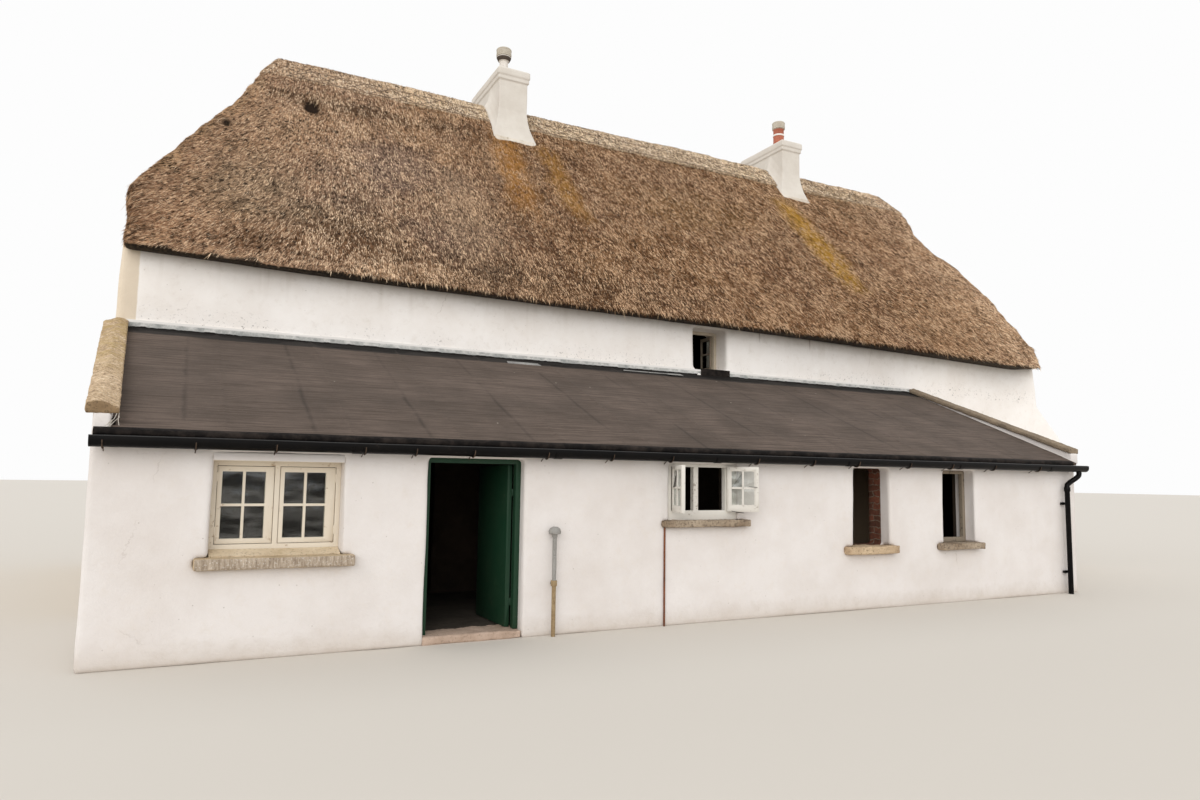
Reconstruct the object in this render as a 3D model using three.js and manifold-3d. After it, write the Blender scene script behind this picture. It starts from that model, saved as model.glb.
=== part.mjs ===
// Long thatched cottage with a felt-roofed lean-to across its front.
// Millimetres, +Z up. The house is drawn in its own survey frame: X runs along the
// front from the lean-to's left corner, Y runs away from the front, Z starts at the ground.
import * as THREE from 'three';
import { mergeVertices } from 'three/addons/utils/BufferGeometryUtils.js';
import Module from 'manifold-3d';

// Clearance left where two pieces bear on each other
const SEAT = 0.3;

// Reach of cutting shapes, beyond every part of the house
const FAR = 20000;

// Lean-to
const LEAN_LENGTH = 12000;
const LEAN_DEPTH = 2800;
const LEAN_WALL = 360;
const LEAN_WALL_HEAD = 1667;
const WALL_JOINT = 8750;
const UPSTAND = 130;
const FELT_TOP_FRONT = 1857;
const FELT_TOP_BACK = 3057;
const FELT_THICKNESS = 9;
const BOARD_THICKNESS = 24;
const EAVE_PROJECTION = 120;
const FLASHING_TOP = 3140;
const FLOOR_TOP = 60;

// Copings on the lean-to's end walls
const COPING_WIDTH = 240;
const COPING_OVERHANG = 80;
const RIGHT_COPING_OVERHANG = 40;
const COPING_FRONT = -50;
const COPING_FRONT_UNDERSIDE = 1940;
const COPING_BACK_UNDERSIDE = 3060;
const COPING_EDGE = 62;
const COPING_CROWN = 84;
const COPING_SLABS = 3;
const KNEELER_HEIGHT = 150;

// How FAR the left end wall and its coping have run outwards where they meet the main block
const LEFT_SKEW = 130;

// Half-round gutter, its brackets and its downpipe
const GUTTER_RADIUS = 56;
const GUTTER_WALL = 3;
const GUTTER_CENTRE_Y = -144;
const GUTTER_CENTRE_Z = 1737;
const GUTTER_LIP = 28;
const GUTTER_FACETS = 10;
const GUTTER_END = 12030;
const BRACKET_X = [90, 720, 1310, 2020, 2460, 2990, 3720, 4420, 5110, 6210, 7000, 7680, 8520,
  9260, 10060, 10970];
const BRACKET_WIDTH = 26;
const BRACKET_THICKNESS = 5;
const DOWNPIPE_X = 11700;
const DOWNPIPE_Y = -80;
const DOWNPIPE_RADIUS = 34;
const DOWNPIPE_COLLAR = 42;
const OUTLET_X = 11880;
const NECK_FOOT = 1450;

// Pipes that stand against the lean-to
const VENT_PIPE = { x: 3857, y: -62, top: 930, radius: 20, wall: 4, clipZ: 495 };
const RUSTY_PIPE = { x: 5127, y: -10.5, radius: 10 };

// Door in the lean-to
const DOOR_LEFT = 2620;
const DOOR_RIGHT = 3560;
const DOOR_FRAME_FRONT = 100;
const DOOR_FRAME_BACK = 170;
const DOOR_JAMB = 50;
const DOOR_HEAD = 45;
const DOOR_LEAF_THICKNESS = 44;
const DOOR_CLEARANCE = 6;
const THRESHOLD_TOP = 70;
const HINGE_Y = 186;
const HINGE_SET_BACK = 5;
const DOOR_HINGE_HEIGHTS = [300, 1340];
const STRAP_LENGTH = 420;
const STRAP_HEIGHT = 42;
const PIN_RADIUS = 4;
const EYE_RADIUS = 11;

// Windows of the lean-to: the wall opening, the sill stone and the frame set in it
const WINDOW_1 = { left: 855, right: 1887, sillTop: 822, frameFront: 154, frameBack: 214 };
const WINDOW_2 = { left: 5188, right: 6069, sillTop: 1073, frameFront: 25, frameBack: 85 };
const WINDOW_3 = { left: 7762, right: 8360, sillTop: 741 };
const WINDOW_4 = { left: 9300, right: 9894, sillTop: 742, frameFront: 156, frameBack: 216 };
const SILL_1 = { left: 752, right: 1987, bottom: 730, front: -100, back: 225 };
const SILL_2 = { left: 5100, right: 6182, bottom: 1003, front: -95, back: 130 };
const SILL_3 = { left: 7625, right: 8420, bottom: 650, front: -110, back: 150 };
const SILL_4 = { left: 9190, right: 9940, bottom: 663, front: -100, back: 225 };
const WINDOW_1_HEAD = 1602;
const WINDOW_1_MULLION = 1363;
const WINDOW_2_MULLION = 5537;
const LEFT_CASEMENT_OPEN = 105;
const RIGHT_CASEMENT_OPEN = 142;

// Main block
const MAIN_FRONT = 2800;
const MAIN_BACK = 8600;
const MAIN_WALL = 600;
const GABLE_LEFT_INSIDE = 550;
const GABLE_RIGHT_INSIDE = 14720;
const LEFT_FACE = [[-185, 0], [-35, 3900]];
const RIGHT_FACE = [[15620, 0], [15220, 3730]];
const UPPER_FLOOR_TOP = 2400;
const UPPER_FLOOR_THICKNESS = 150;
const INNER_DOOR = { left: 2650, right: 3500, top: 1900 };
const UPPER_WINDOW = { left: 7362, right: 7993, bottom: 3140, top: 3777, frameFront: 3100, frameBack: 3160 };
const BACK_WINDOWS = [
  { name: 'back_window_lower', left: 8400, right: 9300, bottom: 950, top: 1850 },
  { name: 'back_window_upper', left: 8500, right: 9200, bottom: 3000, top: 3700 },
];
const BACK_FRAME_SET_BACK = 120;
const BUTTRESS = { depth: 1200, foot: 16200, shoulder: [15990, 2400], head: 2990 };

// Thatch
const RIDGE_Y = (MAIN_FRONT + MAIN_BACK) / 2;
const RIDGE_Z = 7790;
const EAVE_OVERHANG = 350;
const EAVE_LIP_Z = 3765;
const THATCH_THICKNESS = 350;
const WALL_TOP_Z = 3900;
const SOFFIT_Z = 3778;

// The eave sags to the right: how FAR it lies above its mean height at each X
const EAVE_LINE = [[-5000, 115], [0, 115], [2400, 62], [5900, 33], [8000, -52], [10100, -116], [14500, -132],
  [15300, -55], [20000, -55]];

// Ends of the thatch, seen from the front as (X, Z) points from eave to ridge
const LEFT_END_LINE = [[-88, 3500], [-88, 4820], [1670, 7790]];
const RIGHT_END_LINE = [[15245, 3500], [15255, 5400], [15000, 6180], [14640, 6420], [14560, 7450], [14250, 7790]];
const HIP_SEAT_DROP = 400;
const RIGHT_HIP_EAVE_Z = 5300;

// Plan of the thatch's front half, its eave corners rounded back
const THATCH_PLAN = [[-300, 5400], [-88, 3300], [22, 2200], [14670, 2200], [15260, 2820], [15800, 3850]];

// Low swells of the packed thatch, in rows up each slope: (radius, height) points and where each row lies
const SWELL_PROFILE = [[0, -60], [740, -60], [740, -4], [420, 27], [0, 40]];
const SWELL_SIDES = 10;
const SWELL_STEP = 1550;
const SWELL_ROWS = [
  { upSlope: 960, first: 1500, last: 14000 },
  { upSlope: 2360, first: 2275, last: 13700 },
  { upSlope: 3760, first: 2950, last: 13200 },
];

const RIDGE_CAP_THICKNESS = 50;
const RIDGE_CAP_BOTTOM = 7400;

// Chimneys
const CHIMNEYS = [
  { name: 'chimney_1', left: 5095, right: 5600, front: 5260, back: 6600, potX: 5322 },
  { name: 'chimney_2', left: 11192, right: 11640, front: 5300, back: 6600, potX: 11430 },
];
const STACK_TOP = 8200;
const LOWER_TIER = { top: 8280, step: 22 };
const UPPER_TIER = { edge: 8380, top: 8410, step: 38, topStep: 10 };

// Mortar haunch round each stack as (height over the thatch, reach) points
const HAUNCH_CURVE = [[430, 0], [270, 22], [140, 62], [40, 125], [-60, 200]];
const HAUNCH_LAP = 5;

const wasm = await Module();
wasm.setup();

// A closed geometry as a solid that can be joined and cut
function solid(geometry) {
  const bare = geometry.clone();
  bare.deleteAttribute('normal');
  bare.deleteAttribute('uv');
  const merged = mergeVertices(bare, 1e-3);
  return new wasm.Manifold(new wasm.Mesh({
    numProp: 3,
    vertProperties: new Float32Array(merged.attributes.position.array),
    triVerts: new Uint32Array(merged.index.array),
  }));
}

const join = (first, ...others) => others.reduce((sum, other) => sum.add(other), first);
const cut = (first, ...others) => others.reduce((rest, other) => rest.subtract(other), first);

function block(x0, x1, y0, y1, z0, z1) {
  const box = new THREE.BoxGeometry(x1 - x0, y1 - y0, z1 - z0);
  return solid(box.translate((x0 + x1) / 2, (y0 + y1) / 2, (z0 + z1) / 2));
}

function shapeOf(points) {
  return new THREE.Shape(points.map(([a, b]) => new THREE.Vector2(a, b)));
}

// Profile drawn in (Y, Z), run along X; with a skew its ends run to the left as Y grows
function alongX(points, x0, x1, skew = 0) {
  const run = new THREE.ExtrudeGeometry(shapeOf(points), { depth: x1 - x0, bevelEnabled: false });
  const turn = new THREE.Matrix4().set(-skew, 0, 1, x0, 1, 0, 0, 0, 0, 1, 0, 0, 0, 0, 0, 1);
  return solid(run.applyMatrix4(turn));
}

// Profile drawn in (Y, Z), run along X through stations of (X, raise)
function alongStations(points, stations) {
  const spans = stations.length - 1;
  const run = new THREE.ExtrudeGeometry(shapeOf(points), { depth: spans, steps: spans, bevelEnabled: false });
  const corner = run.attributes.position;
  for (let i = 0; i < corner.count; i += 1) {
    const [x, raise] = stations[Math.round(corner.getZ(i))];
    corner.setXYZ(i, x, corner.getX(i), corner.getY(i) + raise);
  }
  return solid(run);
}

// Profile drawn in (X, Z), run along Y
function alongY(points, y0, y1) {
  const run = new THREE.ExtrudeGeometry(shapeOf(points), { depth: y1 - y0, bevelEnabled: false });
  const turn = new THREE.Matrix4().set(1, 0, 0, 0, 0, 0, -1, y1, 0, 1, 0, 0, 0, 0, 0, 1);
  return solid(run.applyMatrix4(turn));
}

// Outline drawn in plan, raised between two heights
function upright(points, z0, z1) {
  const slab = new THREE.ExtrudeGeometry(shapeOf(points), { depth: z1 - z0, bevelEnabled: false });
  return solid(slab.translate(0, 0, z0));
}

// Profile of (radius, height) turned about an upright axis at (x, y)
function turned(points, x, y, segments = 24) {
  const lathe = new THREE.LatheGeometry(points.map(([r, z]) => new THREE.Vector2(r, z)), segments);
  return solid(lathe.rotateX(Math.PI / 2).translate(x, y, 0));
}

const tubeProfile = (inner, outer, z0, z1) => [[inner, z0], [outer, z0], [outer, z1], [inner, z1], [inner, z0]];

// Four-sided block whose foot and head are different rectangles
function tapered(foot, head, z0, z1) {
  const box = new THREE.BoxGeometry(1, 1, 1);
  const corner = box.attributes.position;
  for (let i = 0; i < corner.count; i += 1) {
    const rectangle = corner.getZ(i) < 0 ? foot : head;
    const x = corner.getX(i) < 0 ? rectangle[0] : rectangle[1];
    const y = corner.getY(i) < 0 ? rectangle[2] : rectangle[3];
    corner.setXYZ(i, x, y, corner.getZ(i) < 0 ? z0 : z1);
  }
  return solid(box);
}

const paint = (colour, roughness, metalness = 0) => new THREE.MeshStandardMaterial({
  color: colour, roughness, metalness,
});
const LIMEWASH = paint('#d8d0c6', 0.9);
const SANDSTONE = paint('#8f7f63', 0.95);
const SILL_STONE = paint('#ab9879', 0.95);
const CREAM_PAINT = paint('#d3c7a4', 0.6);
const WHITE_PAINT = paint('#dcd8cf', 0.6);
const GREEN_PAINT = paint('#123a2a', 0.5);
const BLACK_IRON = paint('#17191b', 0.45, 0.2);
const FELT = paint('#2c2624', 0.95);
const LEAD = paint('#9a9690', 0.7, 0.3);
const TIMBER = paint('#6b4f37', 0.85);
const THATCH = paint('#85705f', 1);
const RIDGE_THATCH = paint('#7c6a5b', 1);
const CONCRETE = paint('#8d8578', 0.95);
const STEEL = paint('#8c8a84', 0.5, 0.6);
const RUST = paint('#7a3f28', 0.9);
const CLAY = paint('#b58e6c', 0.9);
const GLASS = new THREE.MeshStandardMaterial({
  color: '#37424a', roughness: 0.08, transparent: true, opacity: 0.4,
});

const house = new THREE.Group();

function piece(name, body, material, parent = house) {
  const mesh = body.getMesh();
  const geometry = new THREE.BufferGeometry();
  geometry.setAttribute('position', new THREE.BufferAttribute(mesh.vertProperties, 3));
  geometry.setIndex(new THREE.BufferAttribute(mesh.triVerts, 1));
  geometry.computeVertexNormals();
  const named = new THREE.Mesh(geometry, material);
  named.name = name;
  parent.add(named);
  return named;
}

// Heights of the lean-to roof's layers at a distance y behind the lean-to's face
const roofSlope = (FELT_TOP_BACK - FELT_TOP_FRONT) / LEAN_DEPTH;
const feltTop = (y) => FELT_TOP_FRONT + roofSlope * y;
const boardTop = (y) => feltTop(y) - FELT_THICKNESS;
const boardUnderside = (y) => boardTop(y) - BOARD_THICKNESS;
const copingSlope = (COPING_BACK_UNDERSIDE - COPING_FRONT_UNDERSIDE) / (LEAN_DEPTH - COPING_FRONT);
const copingUnderside = (y) => COPING_FRONT_UNDERSIDE + copingSlope * (y - COPING_FRONT);

// A band of the roof between two heights, from y0 to y1
const layer = (lower, upper, y0, y1) => [[y0, lower(y0)], [y1, lower(y1)], [y1, upper(y1)], [y0, upper(y0)]];

// Everything left of a line that starts at x on the lean-to's face and follows its skewed end wall
const skew = LEFT_SKEW / LEAN_DEPTH;
const leftOf = (x) => alongX([[-1000, -1], [LEAN_DEPTH + 1, -1], [LEAN_DEPTH + 1, FAR], [-1000, FAR]], -1000, x, skew);

// Lean-to walls

const sillBed = (opening, sill) => block(sill.left - SEAT, sill.right + SEAT, sill.front, sill.back + SEAT,
  sill.bottom - SEAT, opening.sillTop + SEAT);
const wallHole = (opening) => block(opening.left, opening.right, -1, LEAN_WALL + 1,
  opening.sillTop, LEAN_WALL_HEAD + 1);

function buildLeanWalls() {
  const left = cut(
    block(0, DOOR_LEFT, 0, LEAN_WALL, 0, LEAN_WALL_HEAD),
    wallHole(WINDOW_1), sillBed(WINDOW_1, SILL_1),
  );
  piece('lean_front_wall_left', left, LIMEWASH);
  const middle = cut(
    block(DOOR_RIGHT, WALL_JOINT - SEAT, 0, LEAN_WALL, 0, LEAN_WALL_HEAD),
    wallHole(WINDOW_2), sillBed(WINDOW_2, SILL_2),
    wallHole(WINDOW_3), sillBed(WINDOW_3, SILL_3),
  );
  piece('lean_front_wall_middle', middle, LIMEWASH);
  const right = cut(
    block(WALL_JOINT, LEAN_LENGTH, 0, LEAN_WALL, 0, LEAN_WALL_HEAD),
    wallHole(WINDOW_4), sillBed(WINDOW_4, SILL_4),
  );
  piece('lean_front_wall_right', right, LIMEWASH);

  const head = alongX([
    [0, LEAN_WALL_HEAD + SEAT], [LEAN_WALL, LEAN_WALL_HEAD + SEAT],
    [LEAN_WALL, boardUnderside(LEAN_WALL) - SEAT], [0, boardUnderside(0) - SEAT],
  ], 0, LEAN_LENGTH - UPSTAND - SEAT);
  piece('lean_wall_head', cut(head, leftOf(UPSTAND + SEAT)), LIMEWASH);

  const behind = LEAN_WALL + SEAT;
  const back = LEAN_DEPTH - SEAT;
  const body = [[behind, 0], [back, 0], [back, boardUnderside(back) - SEAT], [behind, boardUnderside(behind) - SEAT]];
  const upstand = [
    [COPING_FRONT, COPING_FRONT_UNDERSIDE - KNEELER_HEIGHT], [0, COPING_FRONT_UNDERSIDE - KNEELER_HEIGHT],
    [0, LEAN_WALL_HEAD + SEAT], [behind, LEAN_WALL_HEAD + SEAT], [behind, LEAN_WALL_HEAD / 2],
    [back, LEAN_WALL_HEAD / 2], [back, copingUnderside(back) - SEAT],
    [COPING_FRONT, copingUnderside(COPING_FRONT) - SEAT],
  ];
  piece('lean_end_wall_left', join(
    alongX(body, 0, LEAN_WALL), alongX(body, 0, UPSTAND, skew), alongX(upstand, 0, UPSTAND, skew),
  ), LIMEWASH);
  piece('lean_end_wall_right', join(
    alongX(body, LEAN_LENGTH - LEAN_WALL, LEAN_LENGTH),
    alongX(upstand, LEAN_LENGTH - UPSTAND, LEAN_LENGTH),
  ), LIMEWASH);
}

// Saddleback coping: slabs laid up the slope with a thin open joint between their crowns
function buildCoping(name, x0, x1, lean = 0) {
  const back = LEAN_DEPTH - SEAT;
  const ridge = (x0 + x1) / 2;
  const raise = (height) => (y) => copingUnderside(y) + height;
  const bed = alongX(layer(raise(0), raise(COPING_EDGE - 12), COPING_FRONT, back), x0, x1, lean);
  const crowns = [];
  const slabLength = (back - COPING_FRONT) / COPING_SLABS;
  for (let i = 0; i < COPING_SLABS; i += 1) {
    const y0 = COPING_FRONT + i * slabLength + (i ? 4 : 0);
    const y1 = COPING_FRONT + (i + 1) * slabLength - (i < COPING_SLABS - 1 ? 4 : 0);
    const box = new THREE.BoxGeometry(1, 1, 1, 2, 1, 1);
    const corner = box.attributes.position;
    for (let k = 0; k < corner.count; k += 1) {
      const y = corner.getY(k) < 0 ? y0 : y1;
      const across = corner.getX(k);
      const x = Math.abs(across) < 0.1 ? ridge : (across < 0 ? x0 : x1);
      const top = Math.abs(across) < 0.1 ? COPING_CROWN : COPING_EDGE;
      corner.setXYZ(k, x - lean * y, y, copingUnderside(y) + (corner.getZ(k) < 0 ? 1 : top));
    }
    crowns.push(solid(box));
  }
  piece(name, join(bed, ...crowns), SANDSTONE);
}

function buildFloors() {
  piece('lean_floor', block(LEAN_WALL + SEAT, LEAN_LENGTH - LEAN_WALL - SEAT, LEAN_WALL + SEAT,
    LEAN_DEPTH - SEAT, 0, FLOOR_TOP), CONCRETE);
  piece('door_step', block(DOOR_LEFT + SEAT, DOOR_RIGHT - SEAT, 0, LEAN_WALL, 0, THRESHOLD_TOP), SILL_STONE);
  piece('main_floor', block(GABLE_LEFT_INSIDE + SEAT, GABLE_RIGHT_INSIDE - SEAT, MAIN_FRONT + MAIN_WALL + SEAT,
    MAIN_BACK - MAIN_WALL - SEAT, 0, FLOOR_TOP), CONCRETE);
  const upper = block(GABLE_LEFT_INSIDE + SEAT, GABLE_RIGHT_INSIDE - SEAT, MAIN_FRONT + MAIN_WALL + SEAT,
    MAIN_BACK - MAIN_WALL - SEAT, UPPER_FLOOR_TOP - UPPER_FLOOR_THICKNESS, UPPER_FLOOR_TOP);
  piece('upper_floor', cut(upper, ...CHIMNEYS.map((chimney) => stack(chimney, SEAT))), TIMBER);
}

// Lean-to roof

function buildLeanRoof() {
  const x0 = -LEFT_SKEW;
  const x1 = LEAN_LENGTH - UPSTAND - SEAT;
  const back = LEAN_DEPTH - SEAT;
  const besideUpstand = leftOf(UPSTAND + SEAT);
  const boards = alongX(layer(boardUnderside, boardTop, -EAVE_PROJECTION + 4, back), x0, x1);
  piece('lean_roof_boards', cut(boards, besideUpstand), TIMBER);

  const overBoards = (y) => boardTop(y) + SEAT;
  piece('lean_roof_felt', cut(alongX(layer(overBoards, feltTop, -EAVE_PROJECTION, back), x0, x1), besideUpstand), FELT);

  const apron = back - 160;
  const upturn = back - 12;
  const flashing = [
    [apron, feltTop(apron) + SEAT], [back, feltTop(back) + SEAT], [back, FLASHING_TOP],
    [upturn, FLASHING_TOP], [upturn, feltTop(upturn) + 6], [apron, feltTop(apron) + 5],
  ];
  const copingInside = COPING_WIDTH - COPING_OVERHANG + SEAT;
  piece('roof_flashing', cut(alongX(flashing, x0, LEAN_LENGTH - copingInside), leftOf(copingInside)), LEAD);
}

// Rainwater goods

const arc = (radius, from, to, steps) => Array.from({ length: steps + 1 }, (_, i) => {
  const angle = from + (to - from) * (i / steps);
  return [GUTTER_CENTRE_Y + radius * Math.cos(angle), GUTTER_CENTRE_Z + radius * Math.sin(angle)];
});

function buildGutter() {
  const lip = GUTTER_CENTRE_Z + GUTTER_LIP;
  const inner = GUTTER_RADIUS - GUTTER_WALL;
  const trough = [
    [GUTTER_CENTRE_Y - GUTTER_RADIUS, lip], ...arc(GUTTER_RADIUS, Math.PI, 2 * Math.PI, GUTTER_FACETS),
    [GUTTER_CENTRE_Y + GUTTER_RADIUS, lip], [GUTTER_CENTRE_Y + inner, lip],
    ...arc(inner, 2 * Math.PI, Math.PI, GUTTER_FACETS), [GUTTER_CENTRE_Y - inner, lip],
  ];
  const inWall = GUTTER_RADIUS - GUTTER_WALL / 2;
  const stopEnd = [
    [GUTTER_CENTRE_Y - inWall, lip - 2], ...arc(inWall, Math.PI, 2 * Math.PI, GUTTER_FACETS),
    [GUTTER_CENTRE_Y + inWall, lip - 2],
  ];
  piece('gutter', join(
    alongX(trough, 0, GUTTER_END), alongX(stopEnd, 1, 1 + GUTTER_WALL),
    alongX(stopEnd, GUTTER_END - GUTTER_WALL - 1, GUTTER_END - 1),
  ), BLACK_IRON);

  const fasciaFront = -22;
  const fascia = cut(block(0, LEAN_LENGTH - UPSTAND - SEAT, fasciaFront, -SEAT,
    LEAN_WALL_HEAD + 20, boardUnderside(fasciaFront) - SEAT), leftOf(UPSTAND + SEAT));
  const insideRadius = GUTTER_RADIUS + SEAT;
  const outsideRadius = insideRadius + BRACKET_THICKNESS;
  const strap = [
    ...arc(outsideRadius, Math.PI, 1.9 * Math.PI, GUTTER_FACETS - 1),
    [fasciaFront + 1, GUTTER_CENTRE_Z - 18], [fasciaFront + 1, GUTTER_CENTRE_Z + 8],
    [GUTTER_CENTRE_Y + insideRadius, GUTTER_CENTRE_Z + 8],
    ...arc(insideRadius, 2 * Math.PI, Math.PI, GUTTER_FACETS),
  ];
  const straps = BRACKET_X.filter((x) => x > UPSTAND + BRACKET_WIDTH)
    .map((x) => alongX(strap, x - BRACKET_WIDTH / 2, x + BRACKET_WIDTH / 2));
  piece('gutter_fascia', join(fascia, ...straps), BLACK_IRON);
}

function buildDownpipe() {
  const shaft = turned([[0, 0], [DOWNPIPE_RADIUS, 0], [DOWNPIPE_RADIUS, NECK_FOOT + 1], [0, NECK_FOOT + 1]],
    DOWNPIPE_X, DOWNPIPE_Y, 16);
  const collar = turned([[0, NECK_FOOT - 40], [DOWNPIPE_COLLAR, NECK_FOOT - 40], [DOWNPIPE_COLLAR, NECK_FOOT + 20],
    [0, NECK_FOOT + 20]], DOWNPIPE_X, DOWNPIPE_Y, 16);
  const outletZ = GUTTER_CENTRE_Z - GUTTER_RADIUS - SEAT;
  const path = new THREE.CatmullRomCurve3([
    [DOWNPIPE_X, DOWNPIPE_Y, NECK_FOOT], [DOWNPIPE_X, DOWNPIPE_Y, NECK_FOOT + 40],
    [DOWNPIPE_X + 60, DOWNPIPE_Y - 12, NECK_FOOT + 90], [OUTLET_X - 60, GUTTER_CENTRE_Y + 12, outletZ - 90],
    [OUTLET_X, GUTTER_CENTRE_Y, outletZ - 40], [OUTLET_X, GUTTER_CENTRE_Y, outletZ],
  ].map((point) => new THREE.Vector3(...point)));
  const round = new THREE.Shape().absarc(0, 0, DOWNPIPE_RADIUS, 0, 2 * Math.PI);
  const neck = solid(new THREE.ExtrudeGeometry(round, { steps: 14, curveSegments: 8, extrudePath: path }));
  piece('downpipe', join(shaft, collar, neck), BLACK_IRON);
}

function buildSmallPipes() {
  const { x, y, top, radius, wall, clipZ } = VENT_PIPE;
  const clip = cut(
    join(
      turned([[0, clipZ - 15], [radius + 3, clipZ - 15], [radius + 3, clipZ + 15], [0, clipZ + 15]], x, y, 16),
      block(x - 12, x + 12, y, -SEAT, clipZ - 12, clipZ + 12),
    ),
    turned([[0, 0], [radius - wall, 0], [radius - wall, top], [0, top]], x, y, 16),
  );
  piece('vent_pipe', join(turned(tubeProfile(radius - wall, radius, 0, top), x, y, 16), clip), STEEL);
  const seat = top + SEAT;
  piece('vent_cowl', turned([
    [0, seat], [26, seat], [26, seat + 28], [58, seat + 34], [60, seat + 60], [46, seat + 86], [20, seat + 100],
    [0, seat + 102],
  ], x, y, 20), STEEL);
  const pipe = RUSTY_PIPE;
  piece('steel_pipe', turned([
    [0, 0], [pipe.radius, 0], [pipe.radius, SILL_2.bottom - SEAT], [0, SILL_2.bottom - SEAT],
  ], pipe.x, pipe.y, 12), RUST);
}

// Windows

// Frame of members around clear lights, between two depths in the wall
function frame(x0, x1, z0, z1, y0, y1, lights) {
  const holes = lights.map((light) => block(light[0], light[1], y0 - 1, y1 + 1, light[2], light[3]));
  return cut(block(x0, x1, y0, y1, z0, z1), ...holes);
}

// Casement in its own frame, its lower hinge corner at the origin and closed along +X.
// Two by two panes stand in front of one rebate that holds the glass.
function casement(size) {
  const { width, height, depth, hingeStile, freeStile, topRail, bottomRail, bar, columns, rows } = size;
  const clear = { left: hingeStile, right: width - freeStile, bottom: bottomRail, top: height - topRail };
  const rebate = depth / 2;
  const paneWidth = (clear.right - clear.left - (columns - 1) * bar) / columns;
  const paneHeight = (clear.top - clear.bottom - (rows - 1) * bar) / rows;
  const panes = [];
  for (let i = 0; i < columns; i += 1) {
    for (let j = 0; j < rows; j += 1) {
      const x = clear.left + i * (paneWidth + bar);
      const z = clear.bottom + j * (paneHeight + bar);
      panes.push(block(x, x + paneWidth, -1, depth, z, z + paneHeight));
    }
  }
  const lap = 8;
  const seat = block(clear.left - lap, clear.right + lap, rebate, depth + 1, clear.bottom - lap, clear.top + lap);
  const leaf = cut(block(0, width, 0, depth, 0, height), seat, ...panes);
  const glass = block(clear.left - lap + SEAT, clear.right + lap - SEAT, rebate + SEAT, rebate + 4,
    clear.bottom - lap + SEAT, clear.top + lap - SEAT);
  return { leaf, glass };
}

// Hangs a casement: side 1 opens from a left hinge, side -1 from a right hinge
function hang(name, size, hinge, side, angle, material) {
  const leafGroup = new THREE.Group();
  leafGroup.position.set(hinge[0], hinge[1], hinge[2]);
  leafGroup.rotation.z = THREE.MathUtils.degToRad(angle);
  const made = casement(size);
  const mirror = (body) => {
    if (side > 0) return body;
    const mesh = body.getMesh();
    const geometry = new THREE.BufferGeometry();
    const flipped = mesh.vertProperties.map((value, i) => (i % 3 === 0 ? -value : value));
    geometry.setAttribute('position', new THREE.BufferAttribute(flipped, 3));
    geometry.setIndex(new THREE.BufferAttribute(mesh.triVerts.slice().reverse(), 1));
    return solid(geometry);
  };
  piece(name, mirror(made.leaf), material, leafGroup);
  piece(`${name}_glass`, mirror(made.glass), GLASS, leafGroup);
  house.add(leafGroup);
}

function sill(name, stone, top, material, roundEnds = 0) {
  const x0 = stone.left;
  const x1 = stone.right;
  const y0 = stone.front;
  const outline = new THREE.Shape();
  outline.moveTo(x0, stone.back);
  outline.lineTo(x0, y0 + roundEnds);
  if (roundEnds) outline.absarc(x0 + roundEnds, y0 + roundEnds, roundEnds, Math.PI, 1.5 * Math.PI);
  outline.lineTo(x1 - roundEnds, y0);
  if (roundEnds) outline.absarc(x1 - roundEnds, y0 + roundEnds, roundEnds, 1.5 * Math.PI, 2 * Math.PI);
  outline.lineTo(x1, stone.back);
  const slab = new THREE.ExtrudeGeometry(outline, {
    depth: top - stone.bottom, bevelEnabled: false, curveSegments: 5,
  });
  piece(name, solid(slab.translate(0, 0, stone.bottom)), material);
}

function buildWindow1() {
  const w = WINDOW_1;
  const jamb = 42;
  const railTop = w.sillTop + 92;
  const head = WINDOW_1_HEAD - 40;
  const halfMullion = 20;
  const hood = block(w.left + SEAT, w.right - SEAT, SEAT, w.frameBack, WINDOW_1_HEAD - 1, LEAN_WALL_HEAD - SEAT);
  const members = frame(w.left + SEAT, w.right - SEAT, w.sillTop + SEAT * 2, WINDOW_1_HEAD, w.frameFront, w.frameBack, [
    [w.left + jamb, WINDOW_1_MULLION - halfMullion, railTop, head],
    [WINDOW_1_MULLION + halfMullion, w.right - jamb, railTop, head],
  ]);
  piece('window_1_frame', join(members, hood), CREAM_PAINT);
  sill('window_1_sill', SILL_1, w.sillTop, CONCRETE);

  const leafHeight = head - railTop - 2 * SEAT;
  const common = { height: leafHeight, depth: 40, topRail: 44, bottomRail: 42, bar: 22, columns: 2, rows: 2 };
  const leftLight = w.left + jamb + SEAT;
  const rightLight = w.right - jamb - SEAT;
  const y = w.frameFront + 8;
  hang('window_1_casement_left', {
    ...common, width: WINDOW_1_MULLION - halfMullion - SEAT - leftLight, hingeStile: 36, freeStile: 68,
  }, [leftLight, y, railTop + SEAT], 1, 0, CREAM_PAINT);
  hang('window_1_casement_right', {
    ...common, width: rightLight - WINDOW_1_MULLION - halfMullion - SEAT, hingeStile: 80, freeStile: 36,
  }, [rightLight, y, railTop + SEAT], -1, 0, CREAM_PAINT);
}

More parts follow.
